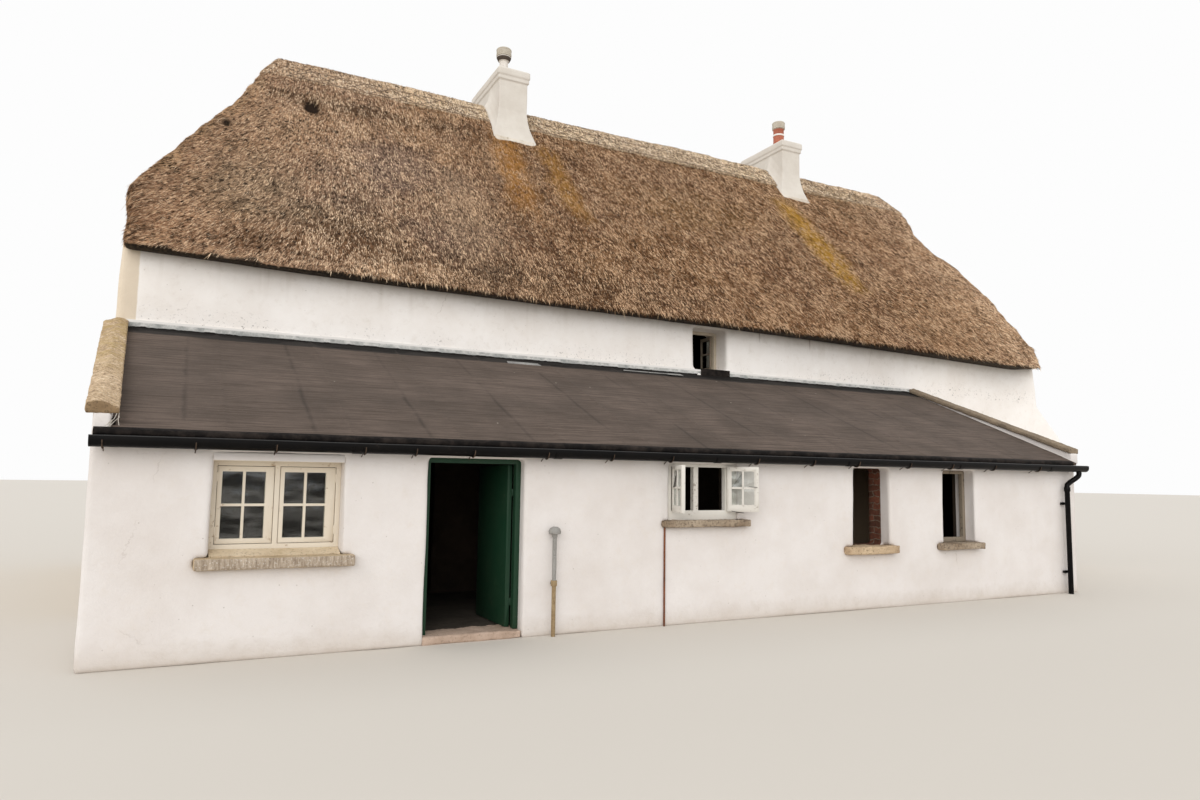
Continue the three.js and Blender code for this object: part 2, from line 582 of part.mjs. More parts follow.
function buildWindow2() {
  const w = WINDOW_2;
  const jamb = 38;
  const halfMullion = 30;
  const railTop = w.sillTop + 100;
  const head = LEAN_WALL_HEAD - 34;
  const lights = [
    [w.left + jamb, WINDOW_2_MULLION - halfMullion, railTop, head],
    [WINDOW_2_MULLION + halfMullion, w.right - 150, railTop, head],
  ];
  piece('window_2_frame', frame(w.left + SEAT, w.right - SEAT, w.sillTop + SEAT * 2, LEAN_WALL_HEAD - SEAT,
    w.frameFront, w.frameBack, lights), WHITE_PAINT);
  sill('window_2_sill', SILL_2, w.sillTop, SILL_STONE);
  const size = {
    width: 340, height: head - railTop + 24, depth: 38, hingeStile: 44, freeStile: 44, topRail: 44, bottomRail: 70,
    bar: 22, columns: 2, rows: 2,
  };
  const z = railTop - 12;
  hang('window_2_casement_left', size, [w.left + jamb + 6, w.frameFront - SEAT, z], 1, -LEFT_CASEMENT_OPEN, WHITE_PAINT);
  hang('window_2_casement_right', size, [w.right - 122, w.frameFront - SEAT, z], -1, RIGHT_CASEMENT_OPEN, WHITE_PAINT);
}

function buildWindows3And4() {
  sill('window_3_sill', SILL_3, WINDOW_3.sillTop, SILL_STONE, 45);
  sill('window_4_sill', SILL_4, WINDOW_4.sillTop, SILL_STONE);
  const w = WINDOW_4;
  piece('window_4_frame', frame(w.left + SEAT, w.right - SEAT, w.sillTop + SEAT * 2, LEAN_WALL_HEAD - SEAT,
    w.frameFront, w.frameBack, [[w.left + 45, w.right - 45, w.sillTop + 60, LEAN_WALL_HEAD - 45]]), CREAM_PAINT);
}

function buildUpperWindow() {
  const w = UPPER_WINDOW;
  const jamb = 45;
  piece('upper_window_frame', frame(w.left + SEAT, w.right - SEAT, w.bottom + SEAT, w.top - SEAT, w.frameFront,
    w.frameBack, [[w.left + jamb, w.right - jamb, w.bottom + jamb, w.top - jamb]]), WHITE_PAINT);
  const size = {
    width: w.right - w.left - 2 * jamb - 8, height: w.top - w.bottom - 2 * jamb - 8, depth: 38, hingeStile: 48,
    freeStile: 48, topRail: 48, bottomRail: 60, bar: 22, columns: 1, rows: 2,
  };
  hang('upper_window_casement', size, [w.right - jamb - 30, w.frameBack + SEAT, w.bottom + jamb + 4], -1, -90,
    WHITE_PAINT);
}

function buildBackWindows() {
  const y1 = MAIN_BACK - BACK_FRAME_SET_BACK;
  const y0 = y1 - 60;
  const edge = 50;
  const bar = 24;
  for (const w of BACK_WINDOWS) {
    const midX = (w.left + w.right) / 2;
    const midZ = (w.bottom + w.top) / 2;
    const clear = [w.left + edge, w.right - edge, w.bottom + edge, w.top - edge];
    const lights = [
      [clear[0], midX - bar / 2, clear[2], midZ - bar / 2], [midX + bar / 2, clear[1], clear[2], midZ - bar / 2],
      [clear[0], midX - bar / 2, midZ + bar / 2, clear[3]], [midX + bar / 2, clear[1], midZ + bar / 2, clear[3]],
    ];
    const lap = 10;
    const rebate = block(clear[0] - lap, clear[1] + lap, y0 - 1, y0 + 30, clear[2] - lap, clear[3] + lap);
    const members = cut(frame(w.left + SEAT, w.right - SEAT, w.bottom + SEAT, w.top - SEAT, y0, y1, lights), rebate);
    piece(w.name, members, WHITE_PAINT);
    piece(`${w.name}_glass`, block(clear[0] - lap + SEAT, clear[1] + lap - SEAT, y0 + 26, y0 + 30 - SEAT,
      clear[2] - lap + SEAT, clear[3] + lap - SEAT), GLASS);
  }
}

// Door

function buildDoor() {
  const inside = { left: DOOR_LEFT + DOOR_JAMB, right: DOOR_RIGHT - DOOR_JAMB };
  const headUnderside = LEAN_WALL_HEAD - DOOR_HEAD;
  const members = cut(
    block(DOOR_LEFT + SEAT, DOOR_RIGHT - SEAT, DOOR_FRAME_FRONT, DOOR_FRAME_BACK, THRESHOLD_TOP + SEAT,
      LEAN_WALL_HEAD - SEAT),
    block(inside.left, inside.right, DOOR_FRAME_FRONT - 1, DOOR_FRAME_BACK + 1, 0, headUnderside),
  );
  const pintles = DOOR_HINGE_HEIGHTS.map((z) => {
    const collarTop = z - SEAT;
    const pinTop = z + STRAP_HEIGHT + 4;
    return join(
      block(inside.right, inside.right + 12, DOOR_FRAME_BACK - 1, HINGE_Y, collarTop - 24, collarTop),
      turned([[0, collarTop - 24], [PIN_RADIUS + 1, collarTop - 24], [PIN_RADIUS + 1, collarTop],
        [PIN_RADIUS, collarTop], [PIN_RADIUS, pinTop], [0, pinTop]], inside.right, HINGE_Y, 12),
    );
  });
  piece('door_frame', join(members, ...pintles), GREEN_PAINT);

  const width = inside.right - inside.left - 2 * DOOR_CLEARANCE;
  const height = headUnderside - THRESHOLD_TOP - 2 * DOOR_CLEARANCE;
  const foot = THRESHOLD_TOP + DOOR_CLEARANCE;
  const board = block(-DOOR_CLEARANCE - width, -DOOR_CLEARANCE, -HINGE_SET_BACK - DOOR_LEAF_THICKNESS,
    -HINGE_SET_BACK, foot, foot + height);
  const straps = DOOR_HINGE_HEIGHTS.map((z) => cut(
    join(
      block(-STRAP_LENGTH, 0, -HINGE_SET_BACK - 1, 1, z, z + STRAP_HEIGHT),
      turned([[0, z], [EYE_RADIUS, z], [EYE_RADIUS, z + STRAP_HEIGHT], [0, z + STRAP_HEIGHT]], 0, 0, 12),
    ),
    turned([[0, z - 1], [PIN_RADIUS + 0.6, z - 1], [PIN_RADIUS + 0.6, z + STRAP_HEIGHT + 1],
      [0, z + STRAP_HEIGHT + 1]], 0, 0, 12),
  ));
  const leaf = join(board, ...straps);
  const swing = new THREE.Group();
  swing.position.set(inside.right, HINGE_Y, 0);
  swing.rotation.z = -Math.PI / 2;
  piece('door_leaf', leaf, GREEN_PAINT, swing);
  house.add(swing);
}

// Main block

const pitch = (RIDGE_Z - EAVE_LIP_Z) / (RIDGE_Y - MAIN_FRONT + EAVE_OVERHANG);
const thatchDrop = THATCH_THICKNESS * Math.hypot(1, pitch);
const HIP_SLANT = 1.16;

// Front half of a profile in (Y, Z) mirrored about the ridge
const bothSlopes = (half) => [...half, ...half.slice().reverse().filter(([y]) => y !== RIDGE_Y)
  .map(([y, z]) => [2 * RIDGE_Y - y, z])];

// A line seen from the front, moved along X and raised
const moved = (line, dx, dz = 0) => line.map(([x, z]) => [x + dx, z + dz]);

// The line carried on past its last point to a height
function carriedTo(line, z) {
  const [[x0, z0], [x1, z1]] = line.slice(-2);
  return [...line, [x1 + (x1 - x0) / (z1 - z0) * (z - z1), z]];
}

// Everything inside the thatch's outer face, grown outwards
function thatchOutside(grow = 0) {
  const rise = grow * Math.hypot(1, pitch);
  const beyond = 200;
  const foot = MAIN_FRONT - EAVE_OVERHANG - beyond;
  const section = bothSlopes([
    [foot, -1000], [foot, EAVE_LIP_Z - beyond * pitch + rise], [RIDGE_Y, RIDGE_Z + rise],
  ]);
  const top = RIDGE_Z + 600;
  const left = carriedTo(moved(LEFT_END_LINE, -grow * HIP_SLANT), top);
  const right = carriedTo(moved(RIGHT_END_LINE, grow * HIP_SLANT), top);
  const ends = [[left[0][0], -1000], ...left, ...right.slice().reverse(), [right[0][0], -1000]];
  return alongX(section, -FAR, FAR).intersect(alongY(ends, -FAR, FAR));
}

// Everything under the thatch: a level soffit, the wall tops, and then an underside that follows the slopes
function underThatch(drop = 0) {
  const innerAt = (y) => RIDGE_Z - thatchDrop - pitch * (RIDGE_Y - y);
  const wallTopInside = RIDGE_Y - (RIDGE_Z - thatchDrop - WALL_TOP_Z) / pitch;
  const eaveRun = (SOFFIT_Z - EAVE_LIP_Z) / EAVE_OVERHANG;
  const beyond = 400;
  const outer = MAIN_FRONT - EAVE_OVERHANG - beyond;
  const section = bothSlopes([
    [outer, -1000], [outer, EAVE_LIP_Z - beyond * eaveRun - drop], [MAIN_FRONT - SEAT, SOFFIT_Z - drop],
    [MAIN_FRONT - SEAT, WALL_TOP_Z - drop],
    [wallTopInside, WALL_TOP_Z - drop], [RIDGE_Y, innerAt(RIDGE_Y) - drop],
  ]);
  const inwards = THATCH_THICKNESS * HIP_SLANT;
  const [hipFoot, hipTop] = moved(LEFT_END_LINE.slice(-2), inwards, -drop);
  const run = (hipTop[0] - hipFoot[0]) / (hipTop[1] - hipFoot[1]);
  const left = [[hipFoot[0] - run * HIP_SEAT_DROP, hipFoot[1] - HIP_SEAT_DROP], hipTop];
  const right = moved(RIGHT_END_LINE.filter(([, z]) => z > RIGHT_HIP_EAVE_Z), -inwards, -drop);
  const rightSeat = [right[0][0] + run * HIP_SEAT_DROP, right[0][1] - HIP_SEAT_DROP];
  const ends = [
    [-FAR, -1000], [-FAR, left[0][1]], ...left, ...right.slice().reverse(), rightSeat, [FAR, rightSeat[1]],
    [FAR, -1000],
  ];
  return alongStations(section, EAVE_LINE).intersect(alongY(ends, -FAR, FAR));
}

const faceAt = ([[x0, z0], [x1, z1]], z) => x0 + (x1 - x0) * Math.min((z - z0) / (z1 - z0), 1);

function buildMainWalls() {
  const silhouette = [
    [faceAt(LEFT_FACE, 0), 0], [faceAt(RIGHT_FACE, 0), 0], RIGHT_FACE[1], [RIGHT_FACE[1][0], RIDGE_Z],
    [LEFT_FACE[1][0], RIDGE_Z], LEFT_FACE[1],
  ];
  const mass = alongY(silhouette, MAIN_FRONT, MAIN_BACK).intersect(underThatch(0.5));
  const within = (x0, x1, y0, y1) => mass.intersect(block(x0, x1, y0, y1, 0, FAR));
  const frontInside = MAIN_FRONT + MAIN_WALL;
  const backInside = MAIN_BACK - MAIN_WALL;

  const hole = (w, y0, y1) => block(w.left, w.right, y0 - 1, y1 + 1, w.bottom, w.top);
  piece('main_front_wall', cut(within(-FAR, FAR, MAIN_FRONT, frontInside),
    hole({ ...INNER_DOOR, bottom: FLOOR_TOP }, MAIN_FRONT, frontInside),
    hole(UPPER_WINDOW, MAIN_FRONT, frontInside)), LIMEWASH);
  piece('main_back_wall', cut(within(-FAR, FAR, backInside, MAIN_BACK),
    ...BACK_WINDOWS.map((w) => hole(w, backInside, MAIN_BACK))), LIMEWASH);
  piece('main_gable_left', within(-FAR, GABLE_LEFT_INSIDE, frontInside + SEAT, backInside - SEAT), LIMEWASH);
  piece('main_gable_right', within(GABLE_RIGHT_INSIDE, FAR, frontInside + SEAT, backInside - SEAT), LIMEWASH);

  piece('right_buttress', alongY([
    [faceAt(RIGHT_FACE, 0) + SEAT, 0], [BUTTRESS.foot, 0], BUTTRESS.shoulder,
    [faceAt(RIGHT_FACE, BUTTRESS.head) + SEAT, BUTTRESS.head],
  ], MAIN_FRONT, MAIN_FRONT + BUTTRESS.depth), LIMEWASH);
}

// The swells of both slopes, each a flat dome sunk in the thatch's outer face
function swells() {
  const lean = Math.atan(pitch);
  const front = SWELL_ROWS.flatMap(({ upSlope, first, last }) => {
    const count = Math.floor((last - first) / SWELL_STEP) + 1;
    return Array.from({ length: count }, (_, i) => {
      const points = SWELL_PROFILE.map(([r, z]) => new THREE.Vector2(r, z));
      const dome = new THREE.LatheGeometry(points, SWELL_SIDES).rotateX(Math.PI / 2).rotateX(lean);
      return solid(dome.translate(first + i * SWELL_STEP,
        MAIN_FRONT - EAVE_OVERHANG + upSlope * Math.cos(lean), EAVE_LIP_Z + upSlope * Math.sin(lean)));
    });
  });
  const middle = (LEFT_END_LINE[0][0] + RIGHT_END_LINE[0][0]) / 2;
  const back = front.map((dome) => dome.rotate([0, 0, 180]).translate([2 * middle, 2 * RIDGE_Y, 0]));
  return [...front, ...back];
}

function buildThatch() {
  const holes = CHIMNEYS.map((chimney) => stack(chimney, SEAT));
  const backHalf = THATCH_PLAN.slice().reverse().map(([x, y]) => [x, 2 * RIDGE_Y - y]);
  const plan = upright([...THATCH_PLAN, ...backHalf], 0, FAR);
  piece('thatch_roof', cut(join(thatchOutside().intersect(plan), ...swells()), underThatch(), ...holes), THATCH);
  const cap = thatchOutside(RIDGE_CAP_THICKNESS)
    .intersect(block(-FAR / 4, FAR, 0, FAR, RIDGE_CAP_BOTTOM, FAR));
  const ridge = cut(cap, thatchOutside(SEAT), ...holes);
  const [first, second] = CHIMNEYS.map((chimney) => (chimney.left + chimney.right) / 2);
  const between = (x0, x1) => ridge.intersect(block(x0, x1, 0, FAR, 0, FAR));
  piece('thatch_ridge_left', between(-FAR, first), RIDGE_THATCH);
  piece('thatch_ridge_middle', between(first, second), RIDGE_THATCH);
  piece('thatch_ridge_right', between(second, FAR), RIDGE_THATCH);
}

// Chimneys

const grown = ({ left, right, front, back }, step) => [left - step, right + step, front - step, back + step];

// One band of a haunch: its four sides lean, and its top and bottom follow the roof's two slopes
function haunchBand(lower, upper, lowerHeight, upperHeight) {
  const box = new THREE.BoxGeometry(1, 1, 1, 1, 2, 1);
  const corner = box.attributes.position;
  for (let i = 0; i < corner.count; i += 1) {
    const top = corner.getZ(i) > 0;
    const [x0, x1, y0, y1] = top ? upper : lower;
    const along = corner.getY(i);
    const y = Math.abs(along) < 0.1 ? RIDGE_Y : (along < 0 ? y0 : y1);
    const roof = RIDGE_Z - pitch * Math.abs(y - RIDGE_Y);
    corner.setXYZ(i, corner.getX(i) < 0 ? x0 : x1, y, roof + (top ? upperHeight : lowerHeight));
  }
  return solid(box);
}

// The stack with its haunch where it leaves the thatch, grown by a clearance
function stack(chimney, grow = 0) {
  const [x0, x1, y0, y1] = grown(chimney, grow);
  const haunch = HAUNCH_CURVE.slice(1).map(([height, reach], i) => {
    const [heightAbove, reachAbove] = HAUNCH_CURVE[i];
    return haunchBand(grown(chimney, reach + grow), grown(chimney, reachAbove + grow),
      height - HAUNCH_LAP - grow, heightAbove + grow);
  });
  return join(block(x0, x1, y0, y1, FLOOR_TOP + SEAT, STACK_TOP), ...haunch);
}

function buildChimney(chimney) {
  const lower = grown(chimney, LOWER_TIER.step);
  const upper = grown(chimney, UPPER_TIER.step);
  piece(chimney.name, join(
    stack(chimney), block(...lower, STACK_TOP - 1, LOWER_TIER.top), block(...upper, LOWER_TIER.top, UPPER_TIER.edge),
    tapered(upper, grown(chimney, UPPER_TIER.topStep), UPPER_TIER.edge, UPPER_TIER.top),
  ), LIMEWASH);
  return [chimney.potX, RIDGE_Y, UPPER_TIER.top + SEAT];
}

function buildChimneys() {
  const [x1, y1, foot1] = buildChimney(CHIMNEYS[0]);
  const neck1 = 8812;
  piece('chimney_1_pot', turned([
    [52, foot1], [82, foot1], [73, foot1 + 50], [73, 8740], [100, 8748], [126, 8800], [126, neck1], [52, neck1],
    [52, foot1],
  ], x1, y1), CLAY);
  piece('chimney_1_cowl', turned([
    [0, neck1 + SEAT], [112, neck1 + SEAT], [112, 8822], [130, 8822], [130, 8955], [114, 8966], [0, 8970],
  ], x1, y1), STEEL);

  const [x2, y2, foot2] = buildChimney(CHIMNEYS[1]);
  const neck2 = 8805;
  piece('chimney_2_pot', turned([
    [84, foot2], [150, foot2], [110, foot2 + 90], [108, 8655], [115, 8660], [115, 8690], [108, 8695], [108, neck2],
    [84, neck2], [84, foot2],
  ], x2, y2), CLAY);
  piece('chimney_2_cowl', turned([
    [0, neck2 + SEAT], [130, neck2 + SEAT], [130, 8956], [118, 8966], [0, 8970],
  ], x2, y2), STEEL);
}

buildLeanWalls();
const copingReach = COPING_WIDTH - COPING_OVERHANG;
buildCoping('coping_left', -COPING_OVERHANG, copingReach, skew);
buildCoping('coping_right', LEAN_LENGTH - copingReach, LEAN_LENGTH + RIGHT_COPING_OVERHANG);
buildFloors();
buildLeanRoof();
buildGutter();
buildDownpipe();
buildSmallPipes();
buildWindow1();
buildWindow2();
buildWindows3And4();
buildUpperWindow();
buildBackWindows();
buildDoor();
buildMainWalls();
buildThatch();
buildChimneys();

// The finished house stands with the middle of its footprint at the origin
house.updateMatrixWorld(true);
const extent = new THREE.Box3().setFromObject(house);
const group = new THREE.Group();
house.position.set(-(extent.min.x + extent.max.x) / 2, -(extent.min.y + extent.max.y) / 2, -extent.min.z);
group.add(house);

export default group;
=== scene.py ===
import math

import bmesh
import bpy
import numpy as np
from mathutils import Matrix, Vector, noise
from mathutils.bvhtree import BVHTree


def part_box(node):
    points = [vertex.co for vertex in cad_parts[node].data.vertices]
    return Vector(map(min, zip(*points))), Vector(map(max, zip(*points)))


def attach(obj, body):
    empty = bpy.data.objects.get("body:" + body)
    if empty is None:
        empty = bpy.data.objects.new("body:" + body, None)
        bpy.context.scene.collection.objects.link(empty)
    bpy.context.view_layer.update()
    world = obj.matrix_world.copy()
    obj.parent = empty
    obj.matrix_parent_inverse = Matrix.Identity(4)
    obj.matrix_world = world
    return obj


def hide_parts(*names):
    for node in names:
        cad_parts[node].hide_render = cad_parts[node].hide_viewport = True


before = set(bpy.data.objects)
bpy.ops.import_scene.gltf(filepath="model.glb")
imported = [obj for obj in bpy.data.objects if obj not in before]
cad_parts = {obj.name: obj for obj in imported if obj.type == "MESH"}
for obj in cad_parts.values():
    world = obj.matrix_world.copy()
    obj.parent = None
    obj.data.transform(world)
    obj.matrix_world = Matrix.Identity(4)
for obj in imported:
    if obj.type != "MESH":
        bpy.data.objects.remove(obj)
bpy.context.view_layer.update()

# ------------------------------------------------------------------ the view
# The house is seen from the yard, from in front of the lean-to's left end at eye height, through a wide lens.
# All sizes here are in metres and follow the builder's survey, which starts at the lean-to's left front corner.
survey_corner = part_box("lean_front_wall_left")[0]


def survey(x, y, z):
    """A point of the survey, in the model's own place."""
    return Vector((survey_corner.x + x, survey_corner.y + y, survey_corner.z + z))


EYE = survey(0.560, -7.329, 1.492)
TURN, TILT, ROLL = (math.radians(angle) for angle in (27.390, 5.495, 0.786))
ahead = Vector((math.sin(TURN) * math.cos(TILT), math.cos(TURN) * math.cos(TILT), math.sin(TILT)))
level = Vector((math.cos(TURN), -math.sin(TURN), 0))
upward = level.cross(ahead)
right_side = math.cos(ROLL) * level + math.sin(ROLL) * upward
top_side = -math.sin(ROLL) * level + math.cos(ROLL) * upward

yard_camera = bpy.data.objects.new("yard_camera", bpy.data.cameras.new("yard_camera"))
yard_camera.matrix_world = Matrix.Translation(EYE) @ Matrix((right_side, top_side, -ahead)).transposed().to_4x4()
yard_camera.data.lens = 24.649
yard_camera.data.sensor_width = 36
yard_camera.data.sensor_fit = "HORIZONTAL"
yard_camera.data.clip_end = 400
bpy.context.scene.collection.objects.link(yard_camera)
bpy.context.scene.camera = yard_camera
bpy.context.scene.view_settings.view_transform = "Standard"

# ---------------------------------------------------------- the yard's light
# A bright overcast day: a white sky all round, and a weak broad sun behind the cloud that only just shades the
# undersides. The floor is a plain pale sheet.


def linear(hex_colour):
    """An sRGB hex colour as the linear colour that a shader takes."""
    channels = [int(hex_colour[i:i + 2], 16) / 255 for i in (1, 3, 5)]
    return (*(c / 12.92 if c <= 0.04045 else ((c + 0.055) / 1.055) ** 2.4 for c in channels), 1.0)


def finish(name, roughness, colour="#808080", sheen=0.5, clear=0.0):
    """A new plain material, with its shine from 0 to 1, 0.5 being common, and how far light passes through it."""
    material = bpy.data.materials.new(name)
    material.use_nodes = True
    surface = material.node_tree.nodes["Principled BSDF"].inputs
    surface["Roughness"].default_value = roughness
    surface["Base Color"].default_value = linear(colour)
    surface["Specular IOR Level"].default_value = sheen
    surface["Transmission Weight"].default_value = clear
    return material


def as_mesh(shape, name):
    """Turns a shape that has been edited into a mesh."""
    mesh = bpy.data.meshes.new(name)
    shape.to_mesh(mesh)
    shape.free()
    return mesh


def new_piece(name, mesh, material=None):
    """An object for a mesh or an edited shape, whose corners are already in place."""
    if isinstance(mesh, bmesh.types.BMesh):
        mesh = as_mesh(mesh, name)
    piece = bpy.data.objects.new(name, mesh)
    bpy.context.scene.collection.objects.link(piece)
    if material:
        piece.data.materials.clear()
        piece.data.materials.append(material)
    return piece


sky = bpy.data.worlds.new("overcast_sky")
sky.use_nodes = True
sky.node_tree.nodes["Background"].inputs["Color"].default_value = linear("#fdfdfd")
sky.node_tree.nodes["Background"].inputs["Strength"].default_value = 1.0
bpy.context.scene.world = sky

sun = bpy.data.objects.new("veiled_sun", bpy.data.lights.new("veiled_sun", "SUN"))
sun.data.energy = 1.12
sun.data.angle = math.radians(50)
sun.data.color = (1.0, 0.98, 0.955)
sun.rotation_euler = (math.radians(67), 0, math.radians(-38))
bpy.context.scene.collection.objects.link(sun)

# Plain studio floor: matt painted board, almost white, with no pattern to draw the eye
pale_floor = finish("pale_floor", 0.95, "#d3cdc4")
ground = bmesh.new()
bmesh.ops.create_grid(ground, x_segments=1, y_segments=1, size=160)
floor = new_piece("floor", ground, pale_floor)
floor.location.z = survey_corner.z

# ------------------------------------------------------- limewashed masonry
# Rubble stone walls under many coats of limewash: nothing is quite flat, the arrises are worn round, and the joints
# between the walls are buried. The lean-to's walls are one mass, and so are the main block's with its buttress.


def add(tree, kind, inputs=None, **settings):
    """One node, with its settings, its plain values and its links. A node given as a value is its first output."""
    node = tree.nodes.new(kind if "Node" in kind else "ShaderNode" + kind)
    for name, value in settings.items():
        setattr(node, name, value)
    for name, value in (inputs or {}).items():
        if isinstance(value, bpy.types.Node):
            value = value.outputs[0]
        if isinstance(value, bpy.types.NodeSocket):
            tree.links.new(value, node.inputs[name])
        else:
            node.inputs[name].default_value = value
    return node


def patterned(name, roughness, sheen=0.25, **more):
    """A new material that is to have patterns: returns it with its tree and the place on the object."""
    material = finish(name, roughness, sheen=sheen, **more)
    return material, material.node_tree, add(material.node_tree, "TexCoord").outputs["Object"]


def mix(tree, factor, first, second):
    """The colour between two colours, each given as hex or as a socket."""
    colours = [linear(c) if isinstance(c, str) else c for c in (first, second)]
    return add(tree, "Mix", {0: factor, 6: colours[0], 7: colours[1]}, data_type="RGBA").outputs[2]


def stain(tree, colour, hue, share, *masks):
    """Lays up to a share of a hue over a colour. A mask is a node, or (pattern, the value where none is seen yet, the
    value where all is), and the stain shows where all masks let it."""
    amount = None
    for mask in masks:
        if isinstance(mask, tuple):
            mask = add(tree, "MapRange", {0: mask[0], 1: mask[1], 2: mask[2], 4: share if amount is None else 1.0})
        amount = mask if amount is None else add(tree, "Math", {0: amount, 1: mask}, operation="MULTIPLY")
    return mix(tree, amount, colour, hue)


def show(tree, colour, height=None, strength=0.5, depth=0.003):
    """Gives a material's shader its colour, and relief where a pattern of heights is given."""
    surface = tree.nodes["Principled BSDF"]
    if colour is not None:
        tree.links.new(colour, surface.inputs["Base Color"])
    if height is not None:
        relief = add(tree, "Bump", {"Height": height, "Strength": strength, "Distance": depth})
        tree.links.new(relief.outputs[0], surface.inputs["Normal"])


def bare_copy(*names):
    """The CAD solids of some nodes in one new mesh, with their loose triangles joined up."""
    joined = bmesh.new()
    for name in names:
        joined.from_mesh(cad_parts[name].data)
    bmesh.ops.remove_doubles(joined, verts=joined.verts, dist=2e-5)
    copy = as_mesh(joined, names[0])
    copy.materials.clear()
    return copy


def settle(piece):
    """Turns a piece and its modifiers into one plain mesh."""
    scene_now = bpy.context.evaluated_depsgraph_get()
    plain = bpy.data.meshes.new_from_object(piece.evaluated_get(scene_now))
    piece.modifiers.clear()
    old, piece.data = piece.data, plain
    bpy.data.meshes.remove(old)
    return piece


def cast(piece, grain, rounds):
    """Casts a piece's solids into one closed skin of an even grain, with its arrises rubbed round."""
    skin = piece.modifiers.new("skin", "REMESH")
    skin.mode = "VOXEL"
    skin.voxel_size = grain
    rub = piece.modifiers.new("rub", "SMOOTH")
    rub.factor = 0.5
    rub.iterations = rounds
    return settle(piece)


def corners(piece):
    """The piece's corners and their normals, as arrays."""
    count = len(piece.data.vertices)
    place, normal = np.empty(count * 3, np.float32), np.empty(count * 3, np.float32)
    piece.data.vertices.foreach_get("co", place)
    piece.data.vertex_normals.foreach_get("vector", normal)
    return place.reshape(-1, 3), normal.reshape(-1, 3)


def put(piece, place):
    """Moves the piece's corners to new places."""
    piece.data.vertices.foreach_set("co", place.astype(np.float32).ravel())
    piece.data.update()


def surveyed(place):
    """Places as x, y and z of the survey."""
    return (place - np.array(survey_corner, np.float32)).T


def lumps(places, size, seed):
    """Smooth noise from -1 to 1 at some places, with swells of about a size."""
    shift = Vector((seed * 17.3, seed * 5.7, seed * 11.1))
    return np.array([noise.noise(Vector(place) / size + shift) for place in places.tolist()], np.float32)


def swell(piece, depths, seed, where=None):
    """Pushes a piece's skin in and out along its normals, by (size, depth) swells, as far as a mask lets it."""
    place, normal = corners(piece)
    push = sum(lumps(place, size, seed + i) * depth * 2 for i, (size, depth) in enumerate(depths))
    if where is not None:
        push = push * where(place, normal)
    put(piece, place + normal * push[:, None])


def thin(piece, share):
    """Lets flat places keep fewer faces, down to a share of them."""
    fewer = piece.modifiers.new("fewer", "DECIMATE")
    fewer.ratio = share
    settle(piece)
    piece.data.shade_smooth()


def fit(piece, slot, *nodes, body="house"):
    """The piece stands for some CAD nodes, which are hidden, and moves with a body; the slot is not used."""
    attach(piece, body)
    if nodes:
        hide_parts(*nodes)


# The thatch's eave falls to the right, by this much a metre
EAVE_FALL = 0.0165
# Where the main block's front wall starts
MAIN_FRONT = 2.8


